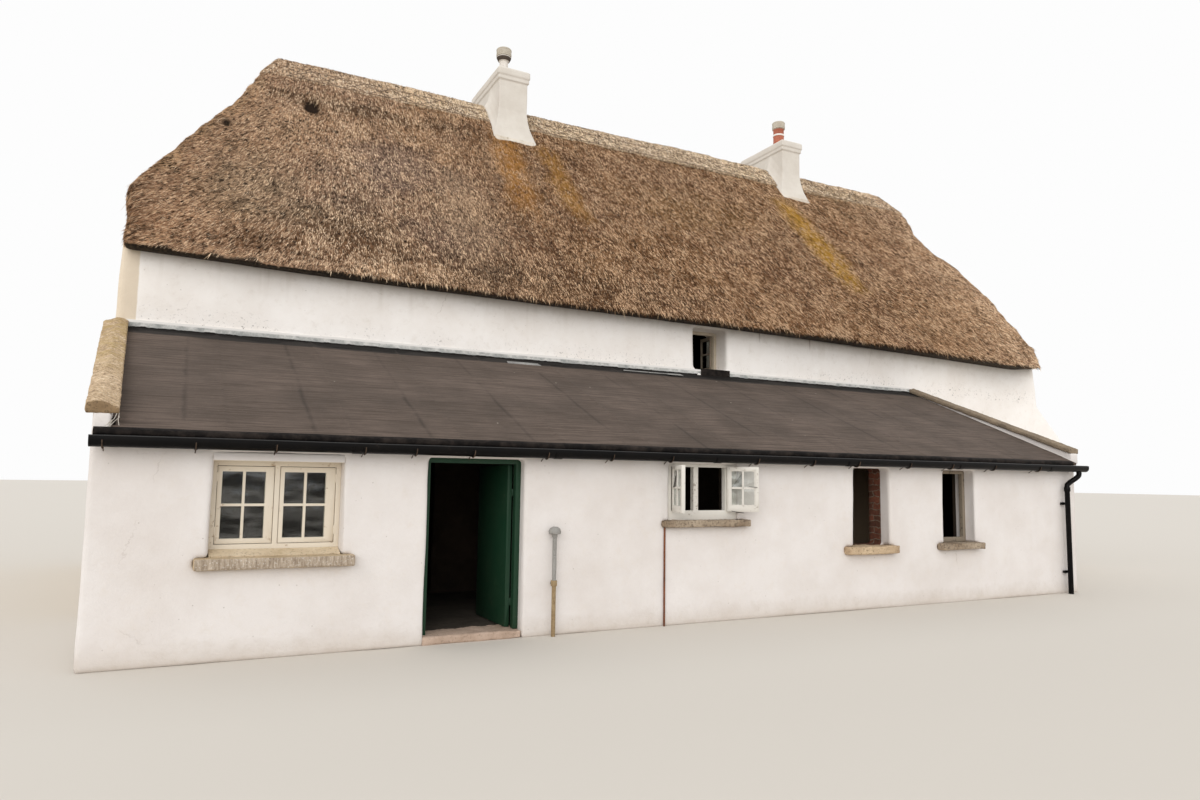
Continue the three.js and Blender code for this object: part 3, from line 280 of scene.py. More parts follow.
def limewash_finish(name, fresh, aged, bare_until):
    """Limewash with its weather marks; left of a station of the survey the render was never painted."""
    material, tree, where = patterned(name, 0.92)
    x, y, z = add(tree, "SeparateXYZ", {0: where}).outputs
    cloudy = add(tree, "TexNoise", {"Vector": where, "Scale": 1.1, "Detail": 5.0, "Roughness": 0.62})
    brushed = add(tree, "TexNoise", {"Vector": where, "Scale": 9.0, "Detail": 6.0, "Roughness": 0.7})
    worn = (cloudy, 0.40, 0.66)
    colour = stain(tree, fresh, aged, 1.0, worn)
    colour = stain(tree, colour, "#dcd3c9", 0.45, (brushed, 0.54, 0.80))
    # rain runs, a few narrow ones close under the thatch's drip and faint ones lower down
    stretched = add(tree, "Mapping", {"Vector": where, "Scale": (5.0, 5.0, 0.35)})
    runs = add(tree, "TexNoise", {"Vector": stretched, "Scale": 1.5, "Detail": 5.0})
    under_eave = add(tree, "MapRange", {0: z, 1: 3.45, 2: 3.90, 3: 0.03, 4: 0.30})
    colour = stain(tree, colour, "#b5a693", 1.0, (runs, 0.56, 0.76), under_eave)
    # a grey band along the top of the wall just under the thatch, falling to the right with the eave
    top_band_edge = add(tree, "Math", {0: x, 1: EAVE_FALL, 2: z}, operation="MULTIPLY_ADD")
    top_band_edge = add(tree, "Math", {0: brushed, 1: 0.10, 2: top_band_edge}, operation="MULTIPLY_ADD")
    colour = stain(tree, colour, "#a3998c", 0.40, (top_band_edge, 3.70, 3.84))
    # rust from two old nails has run down the front under the eave
    for station, foot, top in ((8.593, 3.63, 3.86), (9.628, 3.59, 3.86)):
        off = add(tree, "Math", {0: x, 1: survey(station, 0, 0).x}, operation="SUBTRACT")
        off = add(tree, "Math", {0: off}, operation="ABSOLUTE")
        on_front = (y, survey(0, MAIN_FRONT + 0.20, 0).y, survey(0, MAIN_FRONT + 0.15, 0).y)
        colour = stain(tree, colour, "#6d4c38", 0.75, (z, foot, top), (off, 0.018, 0.006), on_front)
    # splashes of dirt by the ground
    splash_edge = add(tree, "Math", {0: brushed, 1: -0.30, 2: 0.30}, operation="MULTIPLY_ADD")
    splash_height = add(tree, "Math", {0: splash_edge, 1: z}, operation="SUBTRACT")
    colour = stain(tree, colour, "#b9ab9a", 0.55, (splash_height, -0.05, 0.20))
    # black mould specks where rain splashes back off the lean-to's roof, 5 to 12 mm across
    mould = add(tree, "TexNoise", {"Vector": where, "Scale": 32.0, "Detail": 3.0, "Roughness": 0.6})
    colour = stain(tree, colour, "#4d4740", 0.8, (cloudy, 0.42, 0.58), (mould, 0.60, 0.68), (z, 3.36, 3.12),
                   (z, 3.02, 3.08))
    # sparse dark flecks of grit, 4 to 8 mm, drawn a little coarse
    flecks = add(tree, "TexVoronoi", {"Vector": where, "Scale": 22.0})
    fleck_pick = add(tree, "SeparateColor", {0: flecks.outputs["Color"]})
    colour = stain(tree, colour, "#8b7f72", 0.5, (fleck_pick, 0.94, 0.96), (flecks, 0.15, 0.07))
    # hairline cracks, 2 to 3 mm wide
    wander = add(tree, "Mix", {0: 0.12, 4: where, 5: brushed.outputs["Color"]}, data_type="VECTOR")
    cracks = add(tree, "TexVoronoi", {"Vector": wander.outputs[1], "Scale": 0.6}, feature="DISTANCE_TO_EDGE")
    colour = stain(tree, colour, "#9c8f83", 0.35, (cloudy, 0.55, 0.64), (cracks, 0.0026, 0.0010))
    if bare_until is not None:
        ragged = add(tree, "Math", {0: brushed, 1: 0.02, 2: x}, operation="MULTIPLY_ADD")
        bare_colour = stain(tree, "#dfd0ba", "#d3c3ac", 1.0, worn)
        colour = stain(tree, colour, bare_colour, 0.9, (
            ragged, survey(bare_until + 0.016, 0, 0).x, survey(bare_until + 0.004, 0, 0).x))
    rough_coat = add(tree, "TexNoise", {"Vector": where, "Scale": 38.0, "Detail": 5.0, "Roughness": 0.65})
    coats = add(tree, "Math", {0: brushed, 1: 2.2, 2: rough_coat}, operation="MULTIPLY_ADD")
    show(tree, colour, coats, strength=0.5, depth=0.005)
    return material


# Limewash over lime render: warm white and chalky, so it has no shine. It is laid in uneven coats by brush, which
# gives the eye faint cloudy tones, hairline cracks, runs under the thatch and grey splashes near the ground.
limewash = limewash_finish("limewash_on_render", "#e5e0dd", "#dbd4cf", None)
# The same wash is painted whiter on the main block, as painted light against the shade under its eave, while the
# lean-to's copy above is painted greyer, as painted shade against the stronger light it takes. It stops short of the
# main block's left corner, where a hand's breadth of sand-coloured render shows
brightened_limewash_to_corner = limewash_finish("brightened_limewash_short_of_corner", "#faf6f2", "#f1ebe5", 0.125)

# Bare lime plaster indoors, painted a near-black brown as the painted shade of the unlit rooms, so it gives the eye a
# dull brown dark behind the openings
shade_dark_plaster, tree, where = patterned("shade_darkened_inner_plaster", 0.96, sheen=0.2)
stains = add(tree, "TexNoise", {"Vector": where, "Scale": 2.2, "Detail": 6.0, "Roughness": 0.65})
show(tree, stain(tree, "#2e2721", "#453a30", 1.0, (stains, 0.35, 0.65)), stains, strength=0.6, depth=0.02)

# The same plaster behind the third window is left light, without that painted shade: it was once painted and still
# gives back some light
faded_plaster = finish("faded_inner_plaster", 0.95, "#c2a98c", sheen=0.2)

# Old clay brick in the third window's jamb, 215 by 65 mm: hand-moulded and unpainted, red-brown with pale mortar
jamb_brick, tree, where = patterned("hand_moulded_jamb_brick", 0.93)
x, y, z = add(tree, "SeparateXYZ", {0: where}).outputs
uneven = add(tree, "TexNoise", {"Vector": where, "Scale": 9.0, "Detail": 3.0})
y_off = add(tree, "Math", {0: uneven, 1: 0.11, 2: y}, operation="MULTIPLY_ADD")
z_off = add(tree, "Math", {0: uneven, 1: -0.09, 2: z}, operation="MULTIPLY_ADD")
bricks = add(tree, "TexBrick", {
    "Vector": add(tree, "CombineXYZ", {0: y_off, 1: z_off}), "Color1": linear("#7d4c3a"),
    "Color2": linear("#4a3429"), "Mortar": linear("#857767"), "Scale": 1.0, "Mortar Size": 0.006,
    "Mortar Smooth": 0.4, "Bias": -0.1, "Brick Width": 0.225, "Row Height": 0.075})
grime = add(tree, "TexNoise", {"Vector": where, "Scale": 24.0, "Detail": 5.0, "Roughness": 0.7})
sunk = add(tree, "Math", {0: bricks.outputs["Fac"], 1: -1.0, 2: grime}, operation="MULTIPLY_ADD")
show(tree, stain(tree, bricks.outputs["Color"], "#33261f", 0.6, (grime, 0.45, 0.70)), sunk, strength=0.8, depth=0.006)


def of_faces(piece, what):
    """The middles ("center") or the normals ("normal") of the piece's faces, one row each."""
    rows = np.empty(len(piece.data.polygons) * 3, np.float32)
    piece.data.polygons.foreach_get(what, rows)
    return rows.reshape(-1, 3)


def face_middles(piece):
    """The middles of the piece's faces in the survey, as x, y and z."""
    return surveyed(of_faces(piece, "center"))


def score(piece, *cuts):
    """Cuts faces in two along planes square to an axis, given as (axis, station), so that a coat can end there or
    the piece can bend there."""
    shape = bmesh.new()
    shape.from_mesh(piece.data)
    for axis, station in cuts:
        spot, facing = Vector(survey_corner), Vector((0, 0, 0))
        spot[axis] += station
        facing[axis] = 1
        bmesh.ops.bisect_plane(shape, geom=shape.verts[:] + shape.edges[:] + shape.faces[:], plane_co=spot,
                               plane_no=facing, dist=1e-5)
    shape.to_mesh(piece.data)
    shape.free()


def coat_faces(piece, coats, which=None):
    """Gives a piece one material, or several with the number of its own for each face."""
    piece.data.materials.clear()
    for coat in coats:
        piece.data.materials.append(coat)
    which = np.zeros(len(piece.data.polygons)) if which is None else which
    piece.data.polygons.foreach_set("material_index", which.astype(np.int32))


LEAN_LENGTH, LEAN_WALL = 12.0, 0.30
lean_walls = ["lean_front_wall_left", "lean_front_wall_middle", "lean_front_wall_right", "lean_wall_head",
              "lean_end_wall_left", "lean_end_wall_right"]
lean_masonry = new_piece("lean_masonry", bare_copy(*lean_walls))
cast(lean_masonry, grain=0.020, rounds=1)


def lean_outside(place, normal):
    """1 on the lean-to's outer faces, 0 in its openings and its rooms."""
    x, y, z = surveyed(place)
    outer = (y < 0.03) | (x < 0.03) | (x > LEAN_LENGTH - 0.03)
    return (outer & ((normal[:, 1] < -0.7) | (abs(normal[:, 0]) > 0.7))) * 1.0


swell(lean_masonry, [(0.9, 0.008), (0.28, 0.0035)], 3, lean_outside)
thin(lean_masonry, share=0.32)
score(lean_masonry, (1, LEAN_WALL / 2), (1, LEAN_WALL))
x, y, z = face_middles(lean_masonry)
indoors = (y > LEAN_WALL) & (x > 0.15) & (x < LEAN_LENGTH - 0.15)
brick_jamb = (y > LEAN_WALL / 2) & (y <= 0.37) & (x > 7.70) & (x < 8.45) & (z > 0.70) & (z < 1.72)
coat_faces(lean_masonry, [limewash, shade_dark_plaster, jamb_brick], np.where(brick_jamb, 2, np.where(indoors, 1, 0)))
fit(lean_masonry, "limewash", *lean_walls)

MAIN_WALL, UNDER_LEAN_ROOF, WINDOW_3_END = 0.56, 2.96, 9.2
main_walls = ["main_front_wall", "main_back_wall", "main_gable_left", "main_gable_right", "right_buttress"]
main_masonry = new_piece("main_masonry", bare_copy(*main_walls))
cast(main_masonry, grain=0.031, rounds=1)


def main_outside(place, normal):
    """1 on the main block's outer faces, 0 in its openings and its rooms."""
    x, y, z = surveyed(place)
    outer = (y < MAIN_FRONT + 0.08) | (y > 8.52) | (x < 0.1) | (x > 15.1)
    return (outer & ((abs(normal[:, 1]) > 0.7) | (abs(normal[:, 0]) > 0.6))) * 1.0


swell(main_masonry, [(1.3, 0.014), (0.4, 0.005)], 8, main_outside)
thin(main_masonry, share=0.15)
main_rooms = MAIN_FRONT + MAIN_WALL
score(main_masonry, (1, main_rooms), (0, WINDOW_3_END), (2, UNDER_LEAN_ROOF))
x, y, z = face_middles(main_masonry)
indoors = (y > main_rooms) & (y < 8.25) & (x > 0.3) & (x < 14.9)
under_lean_roof = (y < main_rooms) & (x > 0.2) & (x < 11.8) & (z < UNDER_LEAN_ROOF)
behind_window_3 = under_lean_roof & (y < MAIN_FRONT + 0.3) & (x > WINDOW_3_END)
coat_faces(main_masonry, [brightened_limewash_to_corner, shade_dark_plaster, faded_plaster],
           np.where(behind_window_3, 2, np.where(indoors | under_lean_roof, 1, 0)))
fit(main_masonry, "limewash", *main_walls)

# ------------------------------------------------------------- the thatch
# Old water reed and straw, laid in courses on the rafters and combed down the slope. Weather has packed it to a
# smooth, sagging mass with short broken straw ends all over it, a dark wet drip edge, and hips swept round.

# Lichen: x on the front slope, upper and lower height, lean to the right per metre of fall, half breadth, colour
LICHEN_RUNS = [
    (5.13, 7.25, 5.3, -0.05, 0.34, "#a87430"), (5.80, 7.1, 5.3, 0.13, 0.30, "#a27636"),
    (10.95, 7.0, 4.75, 0.14, 0.42, "#b88c2c"),
]
# Weathering and painted shade: x and z on the front slope, half width and height, share and colour
WEATHER_AND_RIDGE_SHADE = [
    (2.2, 4.55, 1.1, 0.60, 0.62, "#56412e"), (2.6, 5.30, 0.8, 0.50, 0.42, "#6f5a50"),
    (3.7, 4.60, 0.7, 0.5, 0.42, "#75605a"), (1.2, 5.05, 0.7, 0.8, 0.40, "#9a8a70"),
    (1.0, 6.45, 1.0, 0.6, 0.50, "#c3a281"), (5.4, 4.12, 2.6, 0.50, 0.75, "#56402c"),
    (7.0, 5.05, 1.6, 0.7, 0.40, "#75532f"), (8.4, 6.15, 1.4, 0.6, 0.35, "#93743f"),
    (14.3, 4.75, 1.5, 1.0, 0.42, "#bd9772"), (0.3, 4.25, 0.8, 0.5, 0.35, "#a2744e"),
    # the next two, narrow and dark, are painted shade under the ridge's cap
    (3.1, 7.02, 2.0, 0.16, 0.75, "#553d28"), (12.6, 6.98, 1.1, 0.14, 0.70, "#59432a"),
    (3.2, 5.9, 0.9, 0.6, 0.5, "#7b6a66"), (4.1, 5.2, 0.6, 0.9, 0.5, "#b79e83"),
    (5.0, 6.4, 0.5, 0.5, 0.5, "#bfa184"), (1.6, 4.25, 1.2, 0.35, 0.55, "#7d5537"),
    (0.30, 5.50, 0.20, 0.40, 0.60, "#cfae88"), (0.62, 6.10, 0.20, 0.40, 0.60, "#cfae88"),
    (0.98, 6.70, 0.22, 0.40, 0.60, "#cfae88"), (1.25, 7.15, 0.24, 0.30, 0.60, "#cfae88"),
    (12.9, 7.5, 1.2, 0.3, 0.5, "#a08866"), (9.4, 4.30, 1.6, 0.5, 0.35, "#7c5535"),
    (12.6, 6.2, 1.2, 0.6, 0.35, "#a3795a"),
]
# Holes in the front slope, each with its rough radius; the first two are a hand deep
HOLES = [((2.10, 4.96, 6.90), 0.115), ((0.95, 4.37, 6.20), 0.055), ((3.41, 4.29, 6.11), 0.03),
         ((3.13, 4.61, 6.50), 0.03)]
# Sunlit ends, middle straw, dark patches, purplish old growth, bleached sweeps, palest single straws
SLOPE_TONES = ["#ae8762", "#7e5d40", "#4a3323", "#66493b", "#ad8560", "#efd4b4"]
RIDGE_TONES = ["#e8d3b6", "#cdb393", "#8d7660", "#b39a80", "#e0c5a0", "#fbead0"]


def straw_grain(piece):
    """Lays a map on a thatched piece whose V runs down the slope and whose U runs across the straws."""
    run = piece.data.uv_layers.new(name="straw_run")
    place, normal = corners(piece)
    across = np.stack([-normal[:, 1], normal[:, 0], np.zeros(len(normal))], 1)
    across /= np.maximum(np.linalg.norm(across, axis=1), 1e-4)[:, None]
    down = np.cross(across, normal)
    middle = place.mean(0)
    flat = np.stack([((place - middle) * across).sum(1), ((place - middle) * down).sum(1)], 1)
    order = np.empty(len(piece.data.loops), np.int32)
    piece.data.loops.foreach_get("vertex_index", order)
    run.data.foreach_set("uv", flat[order].astype(np.float32).ravel())


def thatch_finish(name, tones, straws):
    """Weathered straw, from the sunlit ends to the dark patches. Loose straws take one tone each, and packed ones lie
    in a grain that runs down the slope."""
    material, tree, where = patterned(name, 0.95, sheen=0.2)
    x, y, z = add(tree, "SeparateXYZ", {0: where}).outputs
    on_front = (y, 1.3, 1.2)
    combed = add(tree, "Mapping", {"Vector": where, "Scale": (15.0, 6.0, 6.0)})
    swept = add(tree, "Mapping", {"Vector": where, "Scale": (4.5, 0.7, 0.7)})
    fields, patches, specks, sweeps, hollows = [
        add(tree, "TexNoise", {"Vector": run, "Scale": scale, "Detail": detail, "Roughness": roughness})
        for run, scale, detail, roughness in [
            (where, 0.50, 3.0, 0.6), (where, 2.3, 6.0, 0.66), (combed, 1.0, 4.0, 0.75), (swept, 1.0, 5.0, 0.7),
            (where, 17.0, 3.0, 0.7)]]
    colour = stain(tree, tones[1], tones[2], 0.8, (patches, 0.46, 0.66))
    colour = stain(tree, colour, tones[0], 0.55 if straws else 1.0, (specks, 0.46, 0.62))
    colour = stain(tree, colour, tones[4], 0.70, (sweeps, 0.50, 0.68))
    colour = stain(tree, colour, tones[3], 0.62, (fields, 0.46, 0.58))
    # both ends of the roof are drier and paler than its middle
    from_middle = add(tree, "Math", {0: x}, operation="ABSOLUTE")
    colour = stain(tree, colour, "#cda786", 0.55, (from_middle, 2.8, 7.3))
    # where the slope lies wet it has gone dark or purplish, and where wind combs it, pale; under the ridge's cap lies a
    # band of painted shade
    for station, height, half_width, half_height, share, hue in WEATHER_AND_RIDGE_SHADE:
        off = add(tree, "VectorMath", {0: where, 1: survey(station, 0, height)}, operation="SUBTRACT")
        off = add(tree, "VectorMath", {0: off, 1: (1 / half_width, 0, 1 / half_height)}, operation="MULTIPLY")
        off = add(tree, "VectorMath", {0: off}, operation="LENGTH").outputs["Value"]
        off = add(tree, "Math", {0: patches, 1: 2.4, 2: off}, operation="MULTIPLY_ADD")
        colour = stain(tree, colour, hue, share, (off, 2.35, 1.55), on_front)
    # pale tufts where the straw is freshly broken, and painted shade in the hollows between them
    colour = stain(tree, colour, tones[5], 0.15 if straws else 0.55, (hollows, 0.55, 0.68))
    colour = stain(tree, colour, "#33251b", 0.30 if straws else 0.85, (hollows, 0.45, 0.36))
    # pin holes a few centimetres apart, where straws have rotted off, painted dark as the shade inside them;
    # commonest along the courses, 0.44 m apart
    course = add(tree, "Math", {0: fields, 1: 0.35, 2: z}, operation="MULTIPLY_ADD")
    course = add(tree, "Math", {0: course, 1: 0.22}, operation="PINGPONG")
    on_course = add(tree, "MapRange", {0: course, 1: 0.05, 2: 0.0, 3: -0.12, 4: 0.02})
    pins = add(tree, "TexVoronoi", {"Vector": where, "Scale": 7.5})
    pin_pick = add(tree, "SeparateColor", {0: pins.outputs["Color"]})
    pin_size = add(tree, "Math", {0: pin_pick, 1: 0.32, 2: on_course}, operation="MULTIPLY_ADD")
    pin_off = add(tree, "Math", {0: pins, 1: pin_size}, operation="SUBTRACT")
    colour = stain(tree, colour, "#1f1610", 0.85, (pin_off, 0.02, -0.03))
    # two holes pecked by birds near the left end, and worn ones further down, each painted dark as the shade inside it
    for spot, size in HOLES:
        off = add(tree, "VectorMath", {0: where, 1: survey(*spot)}, operation="SUBTRACT")
        off = add(tree, "VectorMath", {0: off, 1: (1, 0, 1)}, operation="MULTIPLY")
        off = add(tree, "VectorMath", {0: off}, operation="LENGTH").outputs["Value"]
        off = add(tree, "Math", {0: hollows, 1: 0.12, 2: off}, operation="MULTIPLY_ADD")
        colour = stain(tree, colour, "#2a201a", 0.97, (off, size + 0.08, size + 0.03), on_front)
    # the last half metre above the eave is newer, paler straw, and the drip edge itself is black, partly with moss and
    # partly as painted shade on its cut ends; both lie a little higher right of the middle, where the eave is lifted
    from_lift = add(tree, "Math", {0: x, 1: 2.0}, operation="SUBTRACT")
    from_lift = add(tree, "Math", {0: from_lift}, operation="ABSOLUTE")
    lifted = add(tree, "MapRange", {0: from_lift, 1: 6.0, 2: 1.0, 4: -0.05})
    drop_line = add(tree, "Math", {0: x, 1: EAVE_FALL, 2: z}, operation="MULTIPLY_ADD")
    drop_line = add(tree, "Math", {0: drop_line, 1: lifted})
    drop_line = add(tree, "Math", {0: patches, 1: -0.5, 2: drop_line}, operation="MULTIPLY_ADD")
    colour = stain(tree, colour, tones[5], 0.14, (drop_line, 4.15, 3.75), (sweeps, 0.50, 0.68))
    colour = stain(tree, colour, "#2b241d", 0.88, (drop_line, 3.54, 3.49))
    # orange and yellow lichen washed down from the chimneys' mortar
    lichen = []
    for station, top, foot, side, breadth, hue in LICHEN_RUNS:
        off = add(tree, "Math", {0: z, 1: side, 2: x}, operation="MULTIPLY_ADD")
        off = add(tree, "Math", {0: off, 1: survey(station, 0, 0).x + side * top}, operation="SUBTRACT")
        off = add(tree, "Math", {0: patches, 1: 0.55, 2: off}, operation="MULTIPLY_ADD")
        off = add(tree, "Math", {0: off, 1: 0.275}, operation="SUBTRACT")
        off = add(tree, "Math", {0: off}, operation="ABSOLUTE")
        lichen.append((hue, ((off, breadth, breadth * 0.2), (z, foot, foot + 0.5), (z, top + 0.1, top - 0.2),
                             on_front, (specks, 0.34, 0.54))))
        colour = stain(tree, colour, hue, 0.85, *lichen[-1][1])
    if not straws:
        run = add(tree, "UVMap", uv_map="straw_run")
        run = add(tree, "Mapping", {"Vector": run, "Scale": (60.0, 5.0, 1.0)})
        strands = add(tree, "TexNoise", {"Vector": run, "Scale": 1.0, "Detail": 4.0})
        show(tree, stain(tree, colour, "#3a2c22", 0.8, (strands, 0.52, 0.36)), strands, strength=0.9, depth=0.02)
        return material
    # straws of a kind lie together: here mostly bleached ones, there mostly rotten ones
    kind = add(tree, "Math", {0: hollows, 1: 0.8, 2: patches}, operation="MULTIPLY_ADD")
    kind = add(tree, "MapRange", {0: kind, 1: 0.72, 2: 1.08, 3: -0.20, 4: 0.20})
    tone = add(tree, "Math", {0: add(tree, "Attribute", attribute_name="tone").outputs["Fac"], 1: kind})
    # from its middle to the right the slope is browner, as it dries last there
    from_wet = add(tree, "Math", {0: x, 1: 0.9}, operation="SUBTRACT")
    from_wet = add(tree, "Math", {0: from_wet}, operation="ABSOLUTE")
    wet = add(tree, "MapRange", {0: from_wet, 1: 6.4, 2: 4.0, 4: 0.5 if tones is SLOPE_TONES else 0.0})
    colour = mix(tree, wet, colour, "#67401f")
    pale = mix(tree, wet, tones[5], "#b78a5c")
    colour = stain(tree, colour, pale, 0.95, (tone, 0.61, 0.92))
    colour = stain(tree, colour, "#271a12", 0.95, (tone, 0.43, 0.10))
    for hue, masks in lichen:
        colour = stain(tree, colour, hue, 0.4675, *masks)
    show(tree, colour)
    return material


# Thatch: dull, dry and furry, so it scatters light and never shines; packed stems give the eye a fine grain that
# runs down the slope, and broken ends give it thousands of pale flecks and dark gaps
thatch_mass = thatch_finish("packed_thatch", SLOPE_TONES, False)
loose_straw = thatch_finish("broken_straw_ends", SLOPE_TONES, True)
ridge_mass = thatch_finish("packed_ridge_straw", RIDGE_TONES, False)
ridge_straw = thatch_finish("ridge_straw_ends", RIDGE_TONES, True)

# The thatch's underside at the eave: rotted straw, soaked and mossy, and painted darker still as the shade under the
# eave, so it gives the eye a black-brown band
wet_and_shaded_soffit, tree, where = patterned("wet_and_shaded_thatch_soffit", 0.95, sheen=0.2)
tufts = add(tree, "TexNoise", {"Vector": where, "Scale": 30.0, "Detail": 5.0, "Roughness": 0.7})
show(tree, stain(tree, "#1d1712", "#4c4030", 1.0, (tufts, 0.40, 0.72)), tufts, strength=1.0, depth=0.02)

thatch = new_piece("thatch", bare_copy("thatch_roof"))
cast(thatch, grain=0.046, rounds=5)
# above the drip edge the slope is beaten smooth, and the hips a little higher up too
SMOOTH_FROM, SLOPE_SMOOTH_TO, HIP_SMOOTH_TO = 4.15, 6.9, 7.25
place, normal = corners(thatch)
x, y, z = surveyed(place)
on_hip = (abs(normal[:, 0]) > 0.35) & (z < HIP_SMOOTH_TO)
beaten = thatch.vertex_groups.new(name="beaten")
beaten.add(np.nonzero((z > SMOOTH_FROM) & ((z < SLOPE_SMOOTH_TO) | on_hip))[0].tolist(), 1.0, "REPLACE")
beater = thatch.modifiers.new("beater", "SMOOTH")
beater.factor = 0.5
beater.iterations = 70
beater.vertex_group = "beaten"
settle(thatch)
swell(thatch, [(0.55, 0.012), (0.20, 0.009)], 21,
      lambda place, normal: np.clip(normal[:, 2] * 2 + 0.9, 0, 1) * (place[:, 2] > 3.5))
# between the middle and the right end the eave hangs straighter than the solid's
LIFT_STATIONS, LIFTS = [6.0, 8.0, 10.1, 12.3, 14.3], [0, 0.062, 0.096, 0.05, 0]
place, normal = corners(thatch)
x, y, z = surveyed(place)
near_eave = np.clip((4.6 - z) / 0.8, 0, 1) * np.clip((3.6 - y) / 0.5, 0, 1)
place[:, 2] += np.interp(x, LIFT_STATIONS, LIFTS) * near_eave
put(thatch, place)
# the holes are pecked a hand deep
HOLE_DEPTH = 0.14
place, normal = corners(thatch)
dent = sum(np.clip(1.25 - np.linalg.norm(place - np.array(survey(*spot), np.float32), axis=1) / (size + 0.03), 0, 1)
           for spot, size in HOLES[:2])
put(thatch, place - normal * dent[:, None] * HOLE_DEPTH)
# the slope is packed out towards the ridge, so that the ridge's cap lies nearly flush in it
PACKED_FROM, PACKED_OVER, PACKED_BY = 6.75, 0.60, 0.046
place, normal = corners(thatch)
rise = np.clip((surveyed(place)[2] - PACKED_FROM) / PACKED_OVER, 0, 1)
rise = rise * rise * (3 - 2 * rise) * PACKED_BY * (normal[:, 2] > 0.3)
put(thatch, place + normal * rise[:, None])
thin(thatch, share=0.30)
straw_grain(thatch)
# faces turned downwards take the soffit's black-brown, partly painted shade
coat_faces(thatch, [thatch_mass, wet_and_shaded_soffit], of_faces(thatch, "normal")[:, 2] < -0.25)
fit(thatch, "thatch", "thatch_roof")


def straw_layer():
    """The node tree that lays broken straws on a thatched skin, butts in the thatch and tips down the slope."""
    tree = bpy.data.node_groups.new("straw_layer", "GeometryNodeTree")
    for name, kind, value in [
            ("Geometry", "Geometry", None), ("Straws per square metre", "Float", 900.0),
            ("Straw length", "Float", 0.13), ("Straw width", "Float", 0.016), ("Lift", "Float", 0.16),
            ("Stray", "Float", 0.5), ("Seed", "Int", 1), ("Where", "String", "straw_place"),
            ("Finish", "Material", None)]:
        socket = tree.interface.new_socket(name, in_out="INPUT", socket_type="NodeSocket" + kind)
        if value is not None:
            socket.default_value = value
    tree.interface.new_socket("Straws", in_out="OUTPUT", socket_type="NodeSocketGeometry")
    given = add(tree, "NodeGroupInput").outputs
    place = add(tree, "GeometryNodeInputNamedAttribute", {0: given["Where"]}, data_type="FLOAT")
    density = add(tree, "Math", {0: given["Straws per square metre"], 1: place}, operation="MULTIPLY")
    spread = add(tree, "GeometryNodeDistributePointsOnFaces",
                 {"Mesh": given["Geometry"], "Density": density, "Seed": given["Seed"]})
    tone = add(tree, "FunctionNodeRandomValue", {2: 0.0, 3: 1.0, "Seed": 4}, data_type="FLOAT")
    toned = add(tree, "GeometryNodeStoreNamedAttribute",
                {"Geometry": spread, "Name": "tone", "Value": tone.outputs[1]}, data_type="FLOAT", domain="POINT")
    face_out = add(tree, "FunctionNodeAlignRotationToVector", {"Vector": spread.outputs["Normal"]}, axis="Z")
    # towards both hips the straws fan outwards
    x, y, z = add(tree, "SeparateXYZ", {0: add(tree, "GeometryNodeInputPosition")}).outputs
    fan_left = add(tree, "MapRange", {0: x, 1: -5.4, 2: -7.9, 4: -0.85})
    fan_right = add(tree, "MapRange", {0: x, 1: -3.0, 2: 7.0, 4: 0.62})
    fan = add(tree, "Math", {0: fan_left, 1: fan_right})
    downhill = add(tree, "FunctionNodeAlignRotationToVector",
                   {"Rotation": face_out, "Vector": add(tree, "CombineXYZ", {0: fan, 2: -1.0})},
                   axis="Y", pivot_axis="Z")
    other_way = add(tree, "Math", {0: given["Stray"], 1: -1.0}, operation="MULTIPLY")
    yaw = add(tree, "FunctionNodeRandomValue", {2: other_way, 3: given["Stray"], "Seed": 5}, data_type="FLOAT")
    lift = add(tree, "FunctionNodeRandomValue", {2: 0.0, 3: given["Lift"], "Seed": 6}, data_type="FLOAT")
    tilt = add(tree, "CombineXYZ", {0: lift.outputs[1], 2: yaw.outputs[1]})
    tilt = add(tree, "FunctionNodeEulerToRotation", {0: tilt})
    laid = add(tree, "FunctionNodeRotateRotation", {0: downhill, 1: tilt}, rotation_space="LOCAL")
    stem = add(tree, "GeometryNodeMeshCone", {
        "Vertices": 3, "Radius Top": 0.0, "Radius Bottom": given["Straw width"], "Depth": given["Straw length"]},
        fill_type="NGON")
    lying = add(tree, "GeometryNodeTransform",
                {"Geometry": stem, "Rotation": (-math.pi / 2, 0.0, 0.0), "Scale": (1.0, 1.0, 0.5)})
    size = add(tree, "FunctionNodeRandomValue", {0: (0.6, 0.5, 0.7), 1: (1.35, 1.4, 1.3), "Seed": 7},
               data_type="FLOAT_VECTOR")
    straws = add(tree, "GeometryNodeInstanceOnPoints",
                 {"Points": toned, "Instance": lying, "Rotation": laid, "Scale": size})
    real = add(tree, "GeometryNodeRealizeInstances", {0: straws})
    coated = add(tree, "GeometryNodeSetMaterial", {"Geometry": real, "Material": given["Finish"]})
    add(tree, "NodeGroupOutput", {0: coated})
    return tree


straw_tree = straw_layer()


def straws_on(skin, name, where, seed, count, length=0.13, width=0.0045, lift=0.15, stray=0.26, coat=loose_straw):
    """A piece of loose straws on a thatched skin: a count a square metre, where a function of place and normal says.
    They lie close and point down the slope, and may lift from it and stray from it by an angle."""
    layer = new_piece(name, skin.data.copy())
    layer.data.attributes.new("straw_place", "FLOAT", "POINT").data.foreach_set(
        "value", where(*corners(layer)).astype(np.float32))
    nodes = layer.modifiers.new("straws", "NODES")
    nodes.node_group = straw_tree
    sizes = {"Straws per square metre": float(count), "Straw length": length, "Straw width": width, "Lift": lift,
             "Stray": stray, "Seed": seed, "Finish": coat}
    for item in straw_tree.interface.items_tree:
        if item.in_out == "INPUT" and item.name in sizes:
            nodes[item.identifier] = sizes[item.name]
    layer.data.update()
    settle(layer)
    fit(layer, "thatch")


